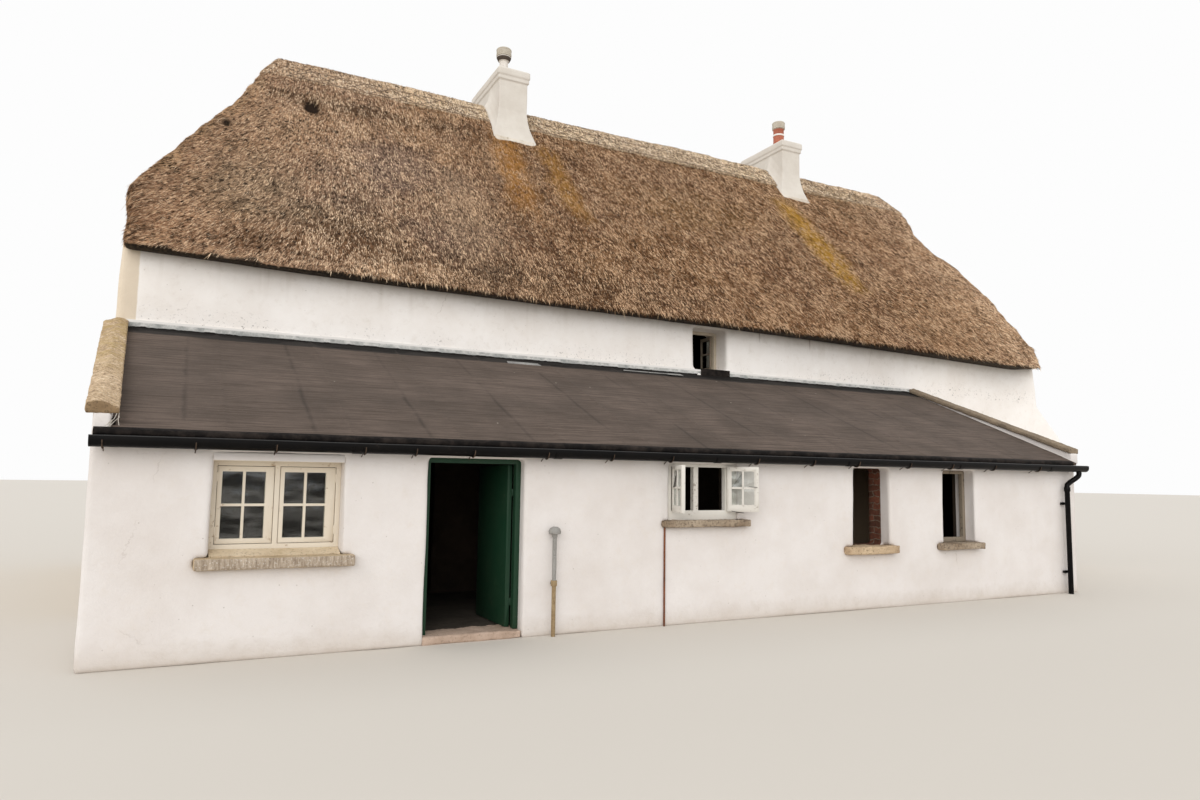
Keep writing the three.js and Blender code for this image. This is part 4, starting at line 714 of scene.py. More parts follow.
def over_drip(place):
    """How high a place lies over the black drip edge, which is thick at the left and thin further on."""
    x, y, z = surveyed(place)
    lip = np.interp(x, [0, 2.4, 5.9, 8.0, 10.1, 12.3, 14.5], [3.880, 3.827, 3.798, 3.775, 3.745, 3.690, 3.633])
    return z - lip - np.interp(x, [0, 2, 6], [0.070, 0.050, 0.016])


def slope_between(start, end):
    """Where a skin shows on the front slope between two stations of the survey, clear of the holes."""
    def there(place, normal):
        x, y, z = surveyed(place)
        bare = sum(np.hypot(x - spot[0], z - spot[2]) < size + 0.035 for spot, size in HOLES) > 0
        return ((normal[:, 2] > 0.12) & (normal[:, 1] < -0.25) & (x >= start) & (x < end) & ~bare
                & (over_drip(place) > 0.02)).astype(float)

    return there


# The front's straws are laid in seven stretches, with 5 to 8 mm butts
for number, (start, end) in enumerate([(-1, 2.2), (2.2, 4.3), (4.3, 6.4), (6.4, 8.5), (8.5, 10.6), (10.6, 12.8),
                                       (12.8, 17)], 1):
    straws_on(thatch, f"front_straw_{number}", slope_between(start, end), seed=number, count=2250)
# Over them lie tufts of three or four straws that have slipped together
for number, (start, end) in enumerate([(-1, 6.2), (6.2, 17)], 1):
    straws_on(thatch, f"front_tufts_{number}", slope_between(start, end), seed=number + 10, count=860,
              length=0.15, width=0.0066, lift=0.12, stray=0.30)
# Here and there a whole bleached reed has slid out of its course
bleached_reed = finish("bleached_reed", 0.9, "#dfc3a0", sheen=0.2)
straws_on(thatch, "slipped_reeds", slope_between(-1, 17), seed=8, count=34, length=0.30, lift=0.09, stray=0.3,
          coat=bleached_reed)
straws_on(thatch, "back_straw", lambda place, normal: ((normal[:, 2] > 0.12) & (normal[:, 1] > 0.25)).astype(float),
          seed=5, count=430, length=0.19, width=0.011)
straws_on(thatch, "hip_straw", lambda place, normal: (
    (normal[:, 2] > -0.3) & (abs(normal[:, 1]) <= 0.25) & (abs(normal[:, 0]) > 0.3)).astype(float),
    seed=6, count=1150)
# The drip edge is cut straight and thick with straw ends, just over the soffit
straws_on(thatch, "eave_fringe", lambda place, normal: (
    (over_drip(place) < 0.28) & (over_drip(place) > 0) & (normal[:, 2] > -0.3) & (place[:, 1] < 0.5)).astype(float),
    seed=7, count=3000, length=0.095, width=0.0055, lift=0.05, stray=0.12)

# -------------------------------------------------------- the thatched ridge
# A cap of straw and sedge bent over the ridge in three lengths between the chimneys. Its lower edge is cut level, and
# twine crossed over hazel rods sews it down.
RIDGE_BACK, RIDGE_TOP, RIDGE_PITCH, RIDGE_START, RIDGE_END = 5.70, 7.90, 1.24, 1.45, 14.55
ridge_nodes = ["thatch_ridge_left", "thatch_ridge_middle", "thatch_ridge_right"]
ridge_band = new_piece("ridge_band", bare_copy(*ridge_nodes))
cast(ridge_band, grain=0.028, rounds=8)
place, normal = corners(ridge_band)
push = 0.020 + 0.016 * lumps(place, 0.9, 31) + 0.010 * lumps(place, 0.22, 32)
x = surveyed(place)[0]
from_end = np.clip(np.minimum(x - RIDGE_START, RIDGE_END - x) / 0.7, 0, 1)
# the cap is thickest right of its middle
swelling = 0.030 * np.exp(-((x - 9.3) / 1.6) ** 2)
upward_side = np.clip(normal[:, 2] * 3 + 0.4, 0, 1) * (0.2 + 0.8 * from_end)
put(ridge_band, place + normal * ((push + swelling) * upward_side)[:, None])
thin(ridge_band, share=0.45)
straw_grain(ridge_band)
coat_faces(ridge_band, [ridge_mass])
fit(ridge_band, "thatch", *ridge_nodes)
straws_on(ridge_band, "ridge_straw", lambda place, normal: (normal[:, 2] > -0.05).astype(float), seed=8, count=2000,
          length=0.10, width=0.006, lift=0.22, stray=0.6, coat=ridge_straw)


def rods(name, paths, material, thickness, sides=6):
    """Round rods or cords, each along a list of points."""
    bent = bpy.data.curves.new(name, "CURVE")
    bent.dimensions = "3D"
    bent.bevel_depth = thickness / 2
    bent.bevel_resolution = (sides - 4) // 2
    bent.use_fill_caps = True
    for path in paths:
        line = bent.splines.new("POLY")
        line.points.add(len(path) - 1)
        for point, spot in zip(line.points, path):
            point.co = (*spot, 1.0)
    bar = bpy.data.objects.new(name, bent)
    mesh = bpy.data.meshes.new_from_object(bar)
    bpy.data.objects.remove(bar)
    bpy.data.curves.remove(bent)
    piece = new_piece(name, mesh, material)
    piece.data.shade_smooth()
    return piece


# Tarred sisal twine, 10 mm, bleached grey-brown: dull and furry, and a shade darker than the ridge's straw
ridge_twine = finish("weathered_ridge_twine", 0.95, "#8a7765", sheen=0.2)
ridge_skin = BVHTree.FromObject(ridge_band, bpy.context.evaluated_depsgraph_get())


def laid_on_ridge(x, height):
    """The spot on the front of the ridge's skin at a station and a height of the survey."""
    spot = ridge_skin.find_nearest(survey(x, RIDGE_BACK - (RIDGE_TOP - height) / RIDGE_PITCH - 0.05, height))
    return spot[0] + spot[1] * 0.006


STITCH_STEP = 0.36
stitches = []
for first, last in [(1.75, 4.95), (5.75, 11.05), (11.80, 14.35)]:
    count = int((last - first) / STITCH_STEP)
    stations = [first + (last - first) * i / count for i in range(count + 1)]
    for low, high in ((7.46, 7.70), (7.70, 7.46)):
        for start, end in zip(stations, stations[1:]):
            stitches.append([laid_on_ridge(start + (end - start) * t / 4, low + (high - low) * t / 4)
                             for t in range(5)])
    stitches += [[laid_on_ridge(x, height) for x in np.linspace(first, last, count * 3)] for height in (7.47, 7.71)]
fit(rods("ridge_twine", stitches, ridge_twine, thickness=0.010, sides=4), "thatch")

# -------------------------------------------------------------- the chimneys
# Two stone stacks with a smooth coat of lime mortar, two stepped courses at the head, and a mortar haunch run out
# over the thatch. Each has a clay or concrete pot bedded in mortar, with a steel cowl.


def mineral_finish(name, light, dark, speck, specks, grain, depth):
    """Weathered stone or mortar: two tones in clouds, more or fewer specks of a third, and a rough grain in metres."""
    material, tree, where = patterned(name, 0.93)
    clouds = add(tree, "TexNoise", {"Vector": where, "Scale": 3.2, "Detail": 6.0, "Roughness": 0.66})
    grit = add(tree, "TexNoise", {"Vector": where, "Scale": 0.5 / grain, "Detail": 5.0, "Roughness": 0.75})
    colour = stain(tree, light, dark, 1.0, (clouds, 0.38, 0.66))
    colour = stain(tree, colour, speck, 0.85, (grit, 0.60 - specks * 0.2, 0.72 - specks * 0.2))
    show(tree, colour, grit, strength=0.7, depth=depth)
    return material


# Lime mortar on the stacks: trowelled smooth and bleached a warm white, with grey rain stains and fine pits
chimney_mortar = mineral_finish("chimney_mortar", "#dcd6cd", "#d3ccc2", "#b9afa2", specks=-0.25, grain=0.020,
                                depth=0.003)
# Its haunches hold the wet, so their mortar is duller, with grey and ochre growth
haunch_mortar = mineral_finish("haunch_mortar", "#e0d8cc", "#c8bcab", "#9a8a72", specks=0.35, grain=0.024, depth=0.006)
ATTIC = 5.6
CHIMNEY_STATIONS = (5.322, 11.430)
# The thatch's slope beside the stacks, and how far their haunch runs up from it
SLOPE_TOP, SLOPE_PITCH, HAUNCH = 7.79, 1.238, 0.045


def stack_part(number, above):
    """The part of a stack above the attic's floor, or the plain breast below it, closed where it is cut."""
    shape = bmesh.new()
    shape.from_mesh(bare_copy(f"chimney_{number}"))
    cut = bmesh.ops.bisect_plane(shape, geom=shape.verts[:] + shape.edges[:] + shape.faces[:], dist=1e-5,
                                 plane_co=survey(0, 0, ATTIC), plane_no=(0, 0, 1), clear_inner=above,
                                 clear_outer=not above)
    rim = [edge for edge in cut["geom_cut"] if isinstance(edge, bmesh.types.BMEdge)]
    bmesh.ops.contextual_create(shape, geom=rim)
    bmesh.ops.recalc_face_normals(shape, faces=shape.faces)
    return shape


for number, seed in ((1, 41), (2, 44)):
    stack = new_piece(f"stack_{number}", stack_part(number, above=True))
    cast(stack, grain=0.011, rounds=1)
    swell(stack, [(0.5, 0.0025), (0.12, 0.0008)], seed)
    thin(stack, share=0.20)
    x, y, z = face_middles(stack)
    over_thatch = z - (SLOPE_TOP - SLOPE_PITCH * abs(y - RIDGE_BACK))
    coat_faces(stack, [chimney_mortar, haunch_mortar], over_thatch < HAUNCH)
    fit(stack, "limewash", f"chimney_{number}")
    fit(new_piece(f"breast_{number}", stack_part(number, above=False), shade_dark_plaster), "limewash")


def creased(piece, angle):
    """Shades a piece smooth, but for arrises sharper than an angle in degrees."""
    piece.data.shade_smooth()
    piece.data.set_sharp_from_angle(angle=math.radians(angle))
    return piece


def trued(name, node, material, ease=0.003, facets=35):
    """A CAD solid as joiner, mason or smith leaves it: flat faces whole, and every arris eased a little."""
    mesh = bare_copy(node)
    shape = bmesh.new()
    shape.from_mesh(mesh)
    bmesh.ops.dissolve_limit(shape, angle_limit=math.radians(1), verts=shape.verts, edges=shape.edges)
    shape.to_mesh(mesh)
    shape.free()
    piece = new_piece(name, mesh, material)
    eased = piece.modifiers.new("eased", "BEVEL")
    eased.width = ease
    eased.segments = 2
    eased.limit_method = "ANGLE"
    eased.angle_limit = math.radians(facets)
    return creased(settle(piece), facets)


def ringed(shape, rings):
    """Closes a solid over rings of equally many points in turn."""
    rings = [[shape.verts.new(spot) for spot in ring] for ring in rings]
    for first, second in zip(rings, rings[1:]):
        for i in range(len(first)):
            shape.faces.new((first[i - 1], first[i], second[i], second[i - 1]))
    shape.faces.new(rings[0])
    shape.faces.new(reversed(rings[-1]))
    bmesh.ops.recalc_face_normals(shape, faces=shape.faces)


def spun(name, profile, foot, material, sides=40):
    """A piece thrown or spun on a wheel, from a profile of (radius, height) points, bottom first."""
    turns = [2 * math.pi * i / sides for i in range(sides)]
    shape = bmesh.new()
    ringed(shape, [[foot + Vector((r * math.cos(a), r * math.sin(a), z)) for a in turns] for r, z in profile])
    return creased(new_piece(name, shape, material), 40)


# Pale concrete pot, cast in a mould: whitish and chalky, streaked by soot from the top
pale_pot = mineral_finish("pale_concrete_pot", "#efeae4", "#d6cfc6", "#a1978b", specks=0.2, grain=0.012, depth=0.002)
# Its ring lies in its own shade and holds soot
sooted_ring = mineral_finish("sooted_pot_ring", "#5c5148", "#453c35", "#2f2924", specks=0.3, grain=0.012, depth=0.002)
# Red clay pot, thrown and fired: brick red and sandy, with a band of pale slip
red_clay = mineral_finish("red_clay_pot", "#b8705a", "#9a5845", "#70463a", specks=0.3, grain=0.012, depth=0.002)
# Steel cowl of sheet 1 mm thick: its paint is chalked to a beige grey, with rust at the seams
cowl_sheet = mineral_finish("chalked_cowl_sheet", "#cfc8ba", "#b3aa9b", "#8d7a66", specks=0.15, grain=0.010,
                            depth=0.0006)
pot_1 = spun("pot_1", [
    (0.088, 8.405), (0.080, 8.425), (0.074, 8.47), (0.073, 8.738), (0.092, 8.742), (0.102, 8.748), (0.127, 8.800),
    (0.126, 8.811), (0.052, 8.812)], survey(CHIMNEY_STATIONS[0], RIDGE_BACK, 0), pale_pot)
x, y, z = face_middles(pot_1)
coat_faces(pot_1, [pale_pot, sooted_ring], (z > 8.740) & (z < 8.800))
fit(pot_1, "clay", "chimney_1_pot")
pot_2 = spun("pot_2", [
    (0.152, 8.405), (0.140, 8.440), (0.122, 8.478), (0.110, 8.500), (0.108, 8.654), (0.114, 8.657), (0.117, 8.664),
    (0.117, 8.686), (0.114, 8.693), (0.108, 8.696), (0.108, 8.790), (0.112, 8.804), (0.084, 8.805)],
    survey(CHIMNEY_STATIONS[1], RIDGE_BACK, 0), red_clay)
x, y, z = face_middles(pot_2)
coat_faces(pot_2, [red_clay, pale_pot], (z > 8.657) & (z < 8.694) | (z < 8.47))
fit(pot_2, "clay", "chimney_2_pot")
COWL = 0.130
for number, (station, foot) in enumerate(zip(CHIMNEY_STATIONS, (8.812, 8.805)), 1):
    cowl = spun(f"cowl_{number}", [
        (COWL - 0.020, foot + 0.0005), (COWL - 0.018, foot + 0.010), (COWL, foot + 0.012), (COWL, foot + 0.040),
        (COWL + 0.003, foot + 0.043), (COWL + 0.003, foot + 0.050), (COWL, foot + 0.053), (COWL, 8.930),
        (COWL + 0.003, 8.933), (COWL + 0.003, 8.942), (COWL, 8.946), (COWL - 0.008, 8.958), (COWL - 0.035, 8.968),
        (0.010, 8.971)], survey(station, RIDGE_BACK, 0), cowl_sheet)
    fit(cowl, "grey_steel", f"chimney_{number}_cowl")

# ------------------------------------------------- the copings and the sills
# Sandstone: saddle-backed slabs on the lean-to's two kneelers, laid up the slope in mortar, and rough-dressed sills
# bedded under the windows. The first window's sill is cast concrete, and the threshold is a worn step.

# Coping: golden buff and sugary, pitted by weather, with grey and orange spots of lichen
coping_stone = mineral_finish("buff_sandstone", "#cfb595", "#b79d7b", "#77675a", specks=0.40, grain=0.008, depth=0.004)
# Its upper half is grown over with ochre-green lichen, and the mason's chevron tooling still shows
tree = coping_stone.node_tree
colour = tree.nodes["Principled BSDF"].inputs["Base Color"].links[0].from_socket
where = add(tree, "TexCoord").outputs["Object"]
on_slab = add(tree, "VectorMath", {0: where, 1: survey(0.0, 0, 0)}, operation="SUBTRACT")
x, y, z = add(tree, "SeparateXYZ", {0: on_slab}).outputs
to_side = add(tree, "Math", {0: x}, operation="ABSOLUTE")
tooling = add(tree, "Math", {0: to_side, 1: 0.55, 2: z}, operation="MULTIPLY_ADD")
tooled = add(tree, "TexNoise", {"W": tooling, "Scale": 62.0, "Detail": 2.0}, noise_dimensions="1D")
colour = stain(tree, colour, "#8b755c", 0.40, (tooled, 0.50, 0.36))
# pits and pale sugary spots, 10 to 30 mm across
pits = add(tree, "TexNoise", {"Vector": where, "Scale": 30.0, "Detail": 4.0, "Roughness": 0.8})
colour = stain(tree, colour, "#7d6852", 0.75, (pits, 0.47, 0.38))
colour = stain(tree, colour, "#ead9bd", 0.65, (pits, 0.54, 0.64))
growth = add(tree, "TexNoise", {"Vector": where, "Scale": 9.0, "Detail": 5.0, "Roughness": 0.7})
show(tree, stain(tree, colour, "#a68c4e", 0.6, (growth, 0.42, 0.62), (z, 2.30, 2.60)))
# Its front end is a darker brown than the rest of the slab
coping_foot = mineral_finish("dark_sandstone_foot", "#957d5f", "#7b654c", "#4f4234", specks=0.40, grain=0.008,
                             depth=0.004)
# The right-hand coping faces the weather: the same stone gone grey-brown, edged with old limewash
grey_coping = mineral_finish("weathered_sandstone", "#93836f", "#76695a", "#4e463c", specks=0.40, grain=0.008,
                             depth=0.004)
# Sill stone: the same stone, never cleaned: grey-brown from run-off
sill_stone = mineral_finish("stained_sill_stone", "#b0a08c", "#8a7864", "#564a3e", specks=0.5, grain=0.012, depth=0.005)
# Cast concrete: grey-buff, flat and dusty, streaked dark where water leaves the window
sill_concrete = mineral_finish("cast_sill_concrete", "#c9b699", "#ae9878", "#7c6b57", specks=0.25, grain=0.008,
                               depth=0.003)
# Its front is splashed white by the limewash brush, and streaked brown below the frame's joints
sill_front, tree, where = patterned("splashed_sill_front", 0.93)
drawn = add(tree, "Mapping", {"Vector": where, "Scale": (62.0, 62.0, 9.0)})
runs = add(tree, "TexNoise", {"Vector": drawn, "Scale": 1.0, "Detail": 5.0, "Roughness": 0.7})
splash = add(tree, "TexNoise", {"Vector": where, "Scale": 55.0, "Detail": 3.0, "Roughness": 0.7})
colour = stain(tree, "#8a7a69", "#c0b19f", 1.0, (runs, 0.36, 0.66))
show(tree, stain(tree, colour, "#e3ddd4", 0.6, (splash, 0.56, 0.64)), splash, strength=0.7, depth=0.004)
# The third window's sill is newer stone, a warm pale buff
pale_sill = mineral_finish("pale_sill_stone", "#cfb898", "#ae957a", "#77664f", specks=0.35, grain=0.012, depth=0.005)
# Threshold: pinkish-beige stone polished by boots
threshold_stone = mineral_finish("worn_threshold_stone", "#c4ad9c", "#a8917f", "#7c6a5b", specks=0.2, grain=0.010,
                                 depth=0.002)

# The left coping's inner edge lies a little further along than the solid's, and the slab is a little narrower
SOLID_EDGE, STONE_EDGE, NARROWER = 0.162, 0.180, 0.94
for side, seed in (("left", 51), ("right", 54)):
    coping = new_piece(f"coping_{side}_stone", bare_copy(f"coping_{side}"))
    cast(coping, grain=0.012, rounds=1)
    swell(coping, [(0.30, 0.002), (0.05, 0.0028)], seed)
    thin(coping, share=0.6)
    if side == "left":
        # the left one is cut saddle-backed, with its ridge down the middle
        place, normal = corners(coping)
        x = surveyed(place)[0]
        across = (x + 0.024) / 0.186
        place[:, 2] += np.where(normal[:, 2] > 0.2, 0.032 * (1 - abs(across)) - 0.012, 0)
        place[:, 0] = survey_corner.x + STONE_EDGE - (SOLID_EDGE - x) * NARROWER
        put(coping, place)
    front_end = of_faces(coping, "normal")[:, 1] < -0.75
    coat_faces(coping, [coping_stone, coping_foot] if side == "left" else [grey_coping], front_end & (side == "left"))
    fit(coping, "coping_stone", f"coping_{side}")

for name, stone, slot, seed in [
        ("window_1_sill", sill_concrete, "concrete", 61), ("window_2_sill", sill_stone, "sill_stone", 62),
        ("window_3_sill", pale_sill, "sill_stone", 63), ("window_4_sill", sill_stone, "sill_stone", 64),
        ("door_step", threshold_stone, "sill_stone", 65)]:
    slab = new_piece(name + "_slab", bare_copy(name))
    is_stone = slot == "sill_stone"
    cast(slab, grain=0.009, rounds=2 if is_stone else 1)
    rough = 1.0 if is_stone else 0.4
    swell(slab, [(0.16, 0.005 * rough), (0.035, 0.0028 * rough)], seed)
    thin(slab, share=0.5)
    front = of_faces(slab, "normal")[:, 1] < -0.6
    coat_faces(slab, [stone] if is_stone else [stone, sill_front], front & (not is_stone))
    fit(slab, slot, name)

# ------------------------------------------------------- the lean-to's roof
# Bitumen felt in strips up the slope, nailed to boards on common rafters and dressed down over a batten at the
# gutter. A lead strip, patched once, is let into the wall above it.

# Roofing felt: brown-black bitumen with most of its green-grey mineral worn off and moss dust in the laps. It is
# dull, with fine streaks across the slope where rain has combed the grit
FELT_STRIP = 1.003
roof_felt, tree, where = patterned("worn_roofing_felt", 0.88, sheen=0.35)
x, y, z = add(tree, "SeparateXYZ", {0: where}).outputs
worn = add(tree, "TexNoise", {"Vector": where, "Scale": 1.3, "Detail": 6.0, "Roughness": 0.66})
combed = add(tree, "Mapping", {"Vector": where, "Scale": (1.5, 42.0, 42.0)})
streaks = add(tree, "TexNoise", {"Vector": combed, "Scale": 1.0, "Detail": 5.0, "Roughness": 0.7})
grit = add(tree, "TexNoise", {"Vector": where, "Scale": 60.0, "Detail": 4.0, "Roughness": 0.7})
colour = stain(tree, "#675950", "#50453d", 1.0, (worn, 0.36, 0.66))
colour = stain(tree, colour, "#43382f", 0.8, (streaks, 0.46, 0.60))
bowed = add(tree, "Math", {0: worn, 1: 0.09, 2: x}, operation="MULTIPLY_ADD")
bowed = add(tree, "Math", {0: bowed, 1: 0.30})
strip = add(tree, "Math", {0: bowed, 1: FELT_STRIP / 2}, operation="PINGPONG")
colour = stain(tree, colour, "#2c2520", 0.55, (strip, 0.030, 0.002), (worn, 0.40, 0.58))
colour = stain(tree, colour, "#8f8072", 0.45, (grit, 0.60, 0.76))
# tar is brushed over its top edge, under the lead, and the black band there is also painted shadow under the lead's
# edge
tar_and_shadow_drift = add(tree, "Math", {0: worn, 1: 0.06, 2: y}, operation="MULTIPLY_ADD")
tar_and_shadow_line = survey(0, 2.560, 0).y
colour = stain(tree, colour, "#1c1917", 0.9, (tar_and_shadow_drift, tar_and_shadow_line + 0.02, tar_and_shadow_line + 0.05))
# a few flakes of limewash and mortar lie on it, 10 to 20 mm across
flakes = add(tree, "TexVoronoi", {"Vector": where, "Scale": 7.0})
flake_pick = add(tree, "SeparateColor", {0: flakes.outputs["Color"]})
colour = stain(tree, colour, "#b5aca2", 0.8, (flake_pick, 0.93, 0.94), (flakes, 0.085, 0.05))
show(tree, colour, grit, strength=0.5, depth=0.003)

SEAMS = [0.93, 1.94, 2.92, 3.95, 4.94, 5.96, 6.93, 7.95, 8.96, 9.94, 10.95]
seam_stations = [seam + step for seam in SEAMS for step in (-0.05, -0.012, 0.0, 0.012, 0.05)]
felt = new_piece("felt", bare_copy("lean_roof_felt"))
score(felt, *((0, station) for station in sorted(seam_stations + list(np.arange(0.15, 11.86, 0.20)))),
      *((1, station) for station in np.arange(-0.05, 2.78, 0.14)))
place, normal = corners(felt)
x, y, z = surveyed(place)
lap = sum(np.exp(-((x - seam) / 0.014) ** 2) * 0.005 for seam in SEAMS)
sag = 0.007 * lumps(place, 0.75, 71) + 0.003 * lumps(place, 0.22, 72)
ease_at_edge = np.clip((y + 0.12) / 0.25, 0, 1) * np.clip((MAIN_FRONT - y) / 0.2, 0, 1)
place[:, 2] += (0.006 + sag) * ease_at_edge + lap + 0.002
put(felt, place)
creased(felt, 30)
coat_faces(felt, [roof_felt])
fit(felt, "roofing_felt", "lean_roof_felt")

# The felt's front edge is folded round a batten, tarred and black: a wet-looking dark line over the gutter
felt_edge, tree, where = patterned("tarred_felt_edge", 0.75, sheen=0.12)
blotch = add(tree, "TexNoise", {"Vector": where, "Scale": 9.0, "Detail": 5.0, "Roughness": 0.7})
show(tree, stain(tree, "#120f0e", "#332c28", 1.0, (blotch, 0.42, 0.68)))


def strip_along(name, section, stations, material, wander, seed):
    """A strip with a closed section of (y, z) points of the survey, which wanders a little along the house."""
    shape = bmesh.new()
    rings = []
    for x in stations:
        drift = [wander * noise.noise(Vector((x * 1.7 + seed, axis * 9.0, seed))) for axis in (0, 1)]
        rings.append([survey(x, y + drift[0], z + drift[1]) for y, z in section])
    ringed(shape, rings)
    return creased(new_piece(name, shape, material), 50)


drip_section = [(-0.124, 1.772), (-0.133, 1.776), (-0.137, 1.786), (-0.137, 1.806), (-0.131, 1.818), (-0.118, 1.824),
                (-0.090, 1.836), (-0.090, 1.829), (-0.112, 1.818), (-0.118, 1.790), (-0.117, 1.774)]
felt_drip = strip_along("felt_drip", drip_section, np.arange(0.02, 11.86, 0.08), felt_edge, wander=0.006,
                        seed=5.0)
fit(felt_drip, "roofing_felt")

# Lead strip: tarred black where it laps the felt, and above that caught by every coat of limewash, so the eye sees
# a black line under a ragged grey-white one
flashing_lead, tree, where = patterned("tarred_and_limewashed_lead", 0.80, sheen=0.2)
x, y, z = add(tree, "SeparateXYZ", {0: where}).outputs
bloom = add(tree, "TexNoise", {"Vector": where, "Scale": 7.0, "Detail": 6.0, "Roughness": 0.7})
colour = stain(tree, "#d6d5d1", "#9b9d9b", 1.0, (bloom, 0.40, 0.62))
colour = stain(tree, colour, "#ece9e5", 1.0, (z, 3.108, 3.120))
tar_edge = add(tree, "Math", {0: bloom, 1: 0.05, 2: z}, operation="MULTIPLY_ADD")
show(tree, stain(tree, colour, "#1c1917", 1.0, (tar_edge, 3.098, 3.092)), bloom, strength=0.5, depth=0.01)

flashing = new_piece("flashing", bare_copy("roof_flashing"))
score(flashing, *((0, station) for station in np.arange(0.1, 11.82, 0.07)))
place, normal = corners(flashing)
x = surveyed(place)[0]
drift = np.stack([x * 0, x * 0, x], 1)
place[:, 1] += 0.006 * lumps(drift, 0.18, 81) - 0.004
place[:, 2] += 0.008 * lumps(drift, 0.35, 82)
put(flashing, place)
creased(flashing, 30)
coat_faces(flashing, [flashing_lead])
fit(flashing, "lead", "roof_flashing")

# A patch of new lead over a split, and a loose end of the strip that the wind has lifted beside the upper window
patch_lead = mineral_finish("bright_patch_lead", "#a3a29f", "#858482", "#5f5e5c", specks=0.3, grain=0.010, depth=0.002)
FELT_FOOT, FELT_HEAD = (-0.12, 1.797), (MAIN_FRONT, 3.057)
felt_slope = (FELT_HEAD[1] - FELT_FOOT[1]) / (FELT_HEAD[0] - FELT_FOOT[0])
patches = bmesh.new()
for left, right, top_y, foot_y, lift in ((4.335, 4.805, 2.645, 2.560, 0.012), (6.08, 7.05, 2.655, 2.625, 0.022),
                                        (6.78, 7.05, 2.640, 2.585, 0.030)):
    ringed(patches, [[survey(x, y, FELT_FOOT[1] + (y - FELT_FOOT[0]) * felt_slope + lift + up) for x, y in
                      ((left, foot_y), (right, foot_y), (right - 0.02, top_y), (left + 0.02, top_y))]
                     for up in (0, 0.004)])
fit(new_piece("lead_patches", patches, patch_lead), "lead")

# Where the felt stops at the left coping it is torn, and frayed scrim from the old mortar hangs over the gutter
outline = [(0.158, 1.812), (0.160, 1.930), (0.136, 1.915), (0.118, 1.880), (0.098, 1.858), (0.074, 1.812)]
torn = bmesh.new()
ringed(torn, [[survey(x, y, z) for x, z in outline] for y in (-0.006, -0.014)])
fit(new_piece("torn_felt_corner", torn, felt_edge), "roofing_felt")
scrim = mineral_finish("frayed_scrim", "#d9d3c9", "#b5aca0", "#8a8074", specks=0.2, grain=0.010, depth=0.001)
threads = [[(0.165, -0.040, 1.945), (0.150, -0.052, 1.900), (0.108, -0.050, 1.862), (0.070, -0.040, 1.820)],
           [(0.175, -0.010, 1.945), (0.182, -0.030, 1.915), (0.150, -0.045, 1.880), (0.120, -0.060, 1.836)],
           [(0.120, -0.030, 1.940), (0.122, -0.040, 1.890), (0.090, -0.045, 1.850), (0.052, -0.040, 1.826)],
           [(0.178, -0.020, 1.950), (0.176, -0.050, 1.890), (0.185, -0.060, 1.850)],
           [(0.020, -0.015, 1.860), (0.060, -0.030, 1.836), (0.110, -0.050, 1.826), (0.160, -0.070, 1.832)],
           [(0.140, -0.045, 1.890), (0.115, -0.055, 1.846), (0.098, -0.060, 1.826)]]
scrim_paths = [[survey(*spot) for spot in thread] for thread in threads]
fit(rods("torn_scrim", scrim_paths, scrim, thickness=0.006, sides=4), "concrete")

# Sawn boards and rafters under the felt, grey-brown from a century of smoke: rough grain along each piece
smoked_timber, tree, where = patterned("smoked_timber", 0.92)
grain_run = add(tree, "Mapping", {"Vector": where, "Scale": (4.0, 40.0, 40.0)})
grain = add(tree, "TexNoise", {"Vector": grain_run, "Scale": 1.0, "Detail": 5.0})
show(tree, stain(tree, "#5a4a3b", "#2f251d", 1.0, (grain, 0.38, 0.64)), grain, strength=0.5, depth=0.003)

fit(trued("roof_boards", "lean_roof_boards", smoked_timber, ease=0.001), "floor_timber", "lean_roof_boards")
RAFTER_WIDTH, RAFTER_DEPTH, RAFTER_STEP = 0.050, 0.10, 0.45
rafter_section = [(side * RAFTER_WIDTH / 2, low) for side, low in (
    (-1, 0), (1, 0), (1, -RAFTER_DEPTH), (-1, -RAFTER_DEPTH))]
rafters = bmesh.new()
for station in np.arange(0.75, 11.5, RAFTER_STEP):
    ringed(rafters, [[survey(station + dx, y, z + dz) for dx, dz in rafter_section]
                     for y, z in ((0.37, 1.905), (2.78, 2.955))])
fit(new_piece("rafters", rafters, smoked_timber), "floor_timber")

# ------------------------------------------------------------ rainwater goods
# A half-round cast-iron gutter on straps screwed to a fascia board, with a swan neck and a downpipe at the right.
# Lengths of about two metres are bolted together at sockets, and rusty hooks under them carry the load.


def worn_paint(name, colour, bare, worn, roughness, sheen=0.35):
    """Old oil paint: brushed, dulled, and worn in spots and along streaks down to what lies under it."""
    material, tree, where = patterned(name, roughness, sheen=sheen)
    spots = add(tree, "TexNoise", {"Vector": where, "Scale": 26.0, "Detail": 6.0, "Roughness": 0.72})
    fields = add(tree, "TexNoise", {"Vector": where, "Scale": 3.0, "Detail": 4.0, "Roughness": 0.6})
    both = add(tree, "Math", {0: fields, 1: 0.6, 2: spots}, operation="MULTIPLY_ADD")
    chipped = add(tree, "MapRange", {0: both, 1: 1.02 - worn * 0.3, 2: 1.05 - worn * 0.3})
    coat = stain(tree, colour, bare, 0.16, (fields, 0.35, 0.65))
    height = add(tree, "Math", {0: chipped, 1: -0.8, 2: spots}, operation="MULTIPLY_ADD")
    show(tree, mix(tree, chipped, coat, bare), height, strength=0.5, depth=0.0012)
    return material


